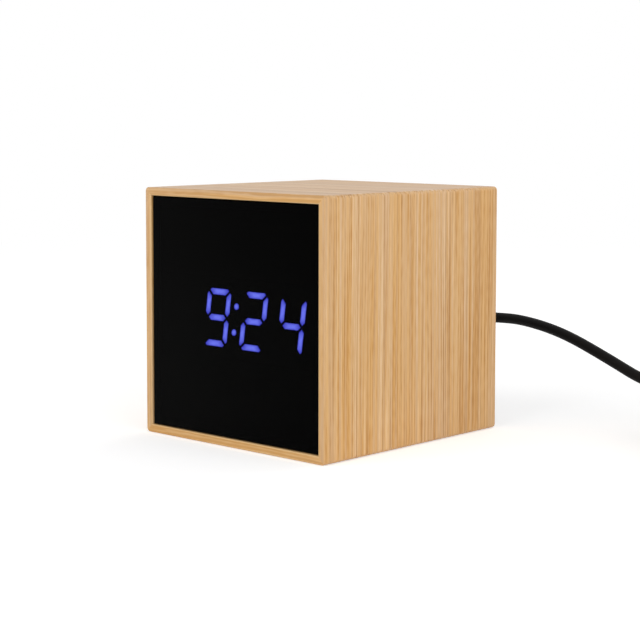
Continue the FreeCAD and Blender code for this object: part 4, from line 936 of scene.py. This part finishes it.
def mark_door():
    """A pointer on the battery door, a dot where it is shut and a ring where it is open."""
    door = rear_middle("battery_door")
    pointer = triangle_outline(POINTER_WIDTH, POINTER_HEIGHT)
    printed_mark("door_mark", "battery_door", [pointer], door + Vector((0, 0, POINTER_DISTANCE)))
    hub = Vector((door.x, rear_middle("rear_cover").y, door.z))
    shut = [circle_outline(SHUT_RADIUS)]
    printed_mark("shut_mark", "clock", shut, hub + Vector((0, 0, SIGN_DISTANCE)))
    turn = math.radians(DOOR_TURN)
    way = Vector((math.sin(turn), 0, math.cos(turn)))
    open_ring = [circle_outline(OPEN_OUTER_RADIUS), circle_outline(OPEN_INNER_RADIUS)]
    printed_mark("open_mark", "clock", open_ring, hub + way * SIGN_DISTANCE)


mark_buttons()
mark_door()


# Studio, in metres

# The world's light on the clock; where it is seen, it is plain white
AMBIENT_LIGHT = 0.41
FLOOR_RADIUS, FLOOR_DROP = 2.5, 0.0001
FLOOR_FADE_FROM, FLOOR_FADE_TO = 0.22, 0.6
# What is added to the near floor where it is seen, and the far floor's light on the clock
FLOOR_LIFT, FAR_FLOOR_LIGHT = 0.42, 0.8
LAMPS_AIM_AT = Vector((0.0, 0.0, 0.03))


def make_world():
    """Even white light from all round, and a plain white background."""
    world = bpy.data.worlds.new("studio")
    world.use_nodes = True
    bpy.context.scene.world = world
    m = Nodes(world.node_tree)
    strength = m.line(m.rays_that_see(), 1 - AMBIENT_LIGHT, AMBIENT_LIGHT)
    background = m.filled("ShaderNodeBackground", grey(1.0), strength)
    m.filled("ShaderNodeOutputWorld", background.outputs[0])


def make_floor():
    """A pale round floor that takes a soft shadow and runs out into plain white."""
    m = Shader("floor_white")
    x, y, _ = m.split(m.place)
    away = m.math("SQRT", m.add(m.multiply(x, x), m.multiply(y, y)))
    far = m.step(away, FLOOR_FADE_FROM, FLOOR_FADE_TO)
    seen = m.rays_that_see()
    speck = m.noise(m.millimetres(), 0.4, 3.0)
    matt = m.filled("ShaderNodeBsdfDiffuse", m.mix(speck, grey(0.93), grey(0.95)))
    lift = m.filled("ShaderNodeEmission", grey(1.0), m.multiply(seen, FLOOR_LIFT))
    near = m.filled("ShaderNodeAddShader", matt.outputs[0], lift.outputs[0])
    far_light = m.line(seen, 1 - FAR_FLOOR_LIGHT, FAR_FLOOR_LIGHT)
    plain = m.filled("ShaderNodeEmission", grey(1.0), far_light)
    both = m.filled("ShaderNodeMixShader", far, near.outputs[0], plain.outputs[0])
    m.tree.links.new(both.outputs[0], m.output.inputs["Surface"])
    bpy.ops.mesh.primitive_circle_add(
        vertices=96, radius=FLOOR_RADIUS, fill_type="NGON", location=(0, 0, -FLOOR_DROP)
    )
    floor = bpy.context.object
    floor.name = "floor"
    floor.data.materials.append(m.material)


def soft_lamp(name, place, width, height, power):
    """A large lamp that faces the clock."""
    lamp = bpy.data.lights.new(name, "AREA")
    lamp.shape = "RECTANGLE"
    lamp.size, lamp.size_y = width, height
    lamp.energy = power
    holder = add_object(name, lamp)
    holder.location = place
    holder.rotation_mode = "QUATERNION"
    holder.rotation_quaternion = (LAMPS_AIM_AT - Vector(place)).to_track_quat("-Z", "Y")


make_world()
make_floor()
soft_lamp("key_lamp", place=(1.30, -0.30, 0.42), width=2.4, height=0.8, power=12.6)
soft_lamp("fill_lamp", place=(-0.35, -1.30, 0.60), width=1.8, height=0.9, power=9.4)
soft_lamp("rear_lamp", place=(0.10, 1.40, 0.55), width=1.8, height=1.0, power=5.4)

bpy.context.scene.view_settings.view_transform = "Standard"
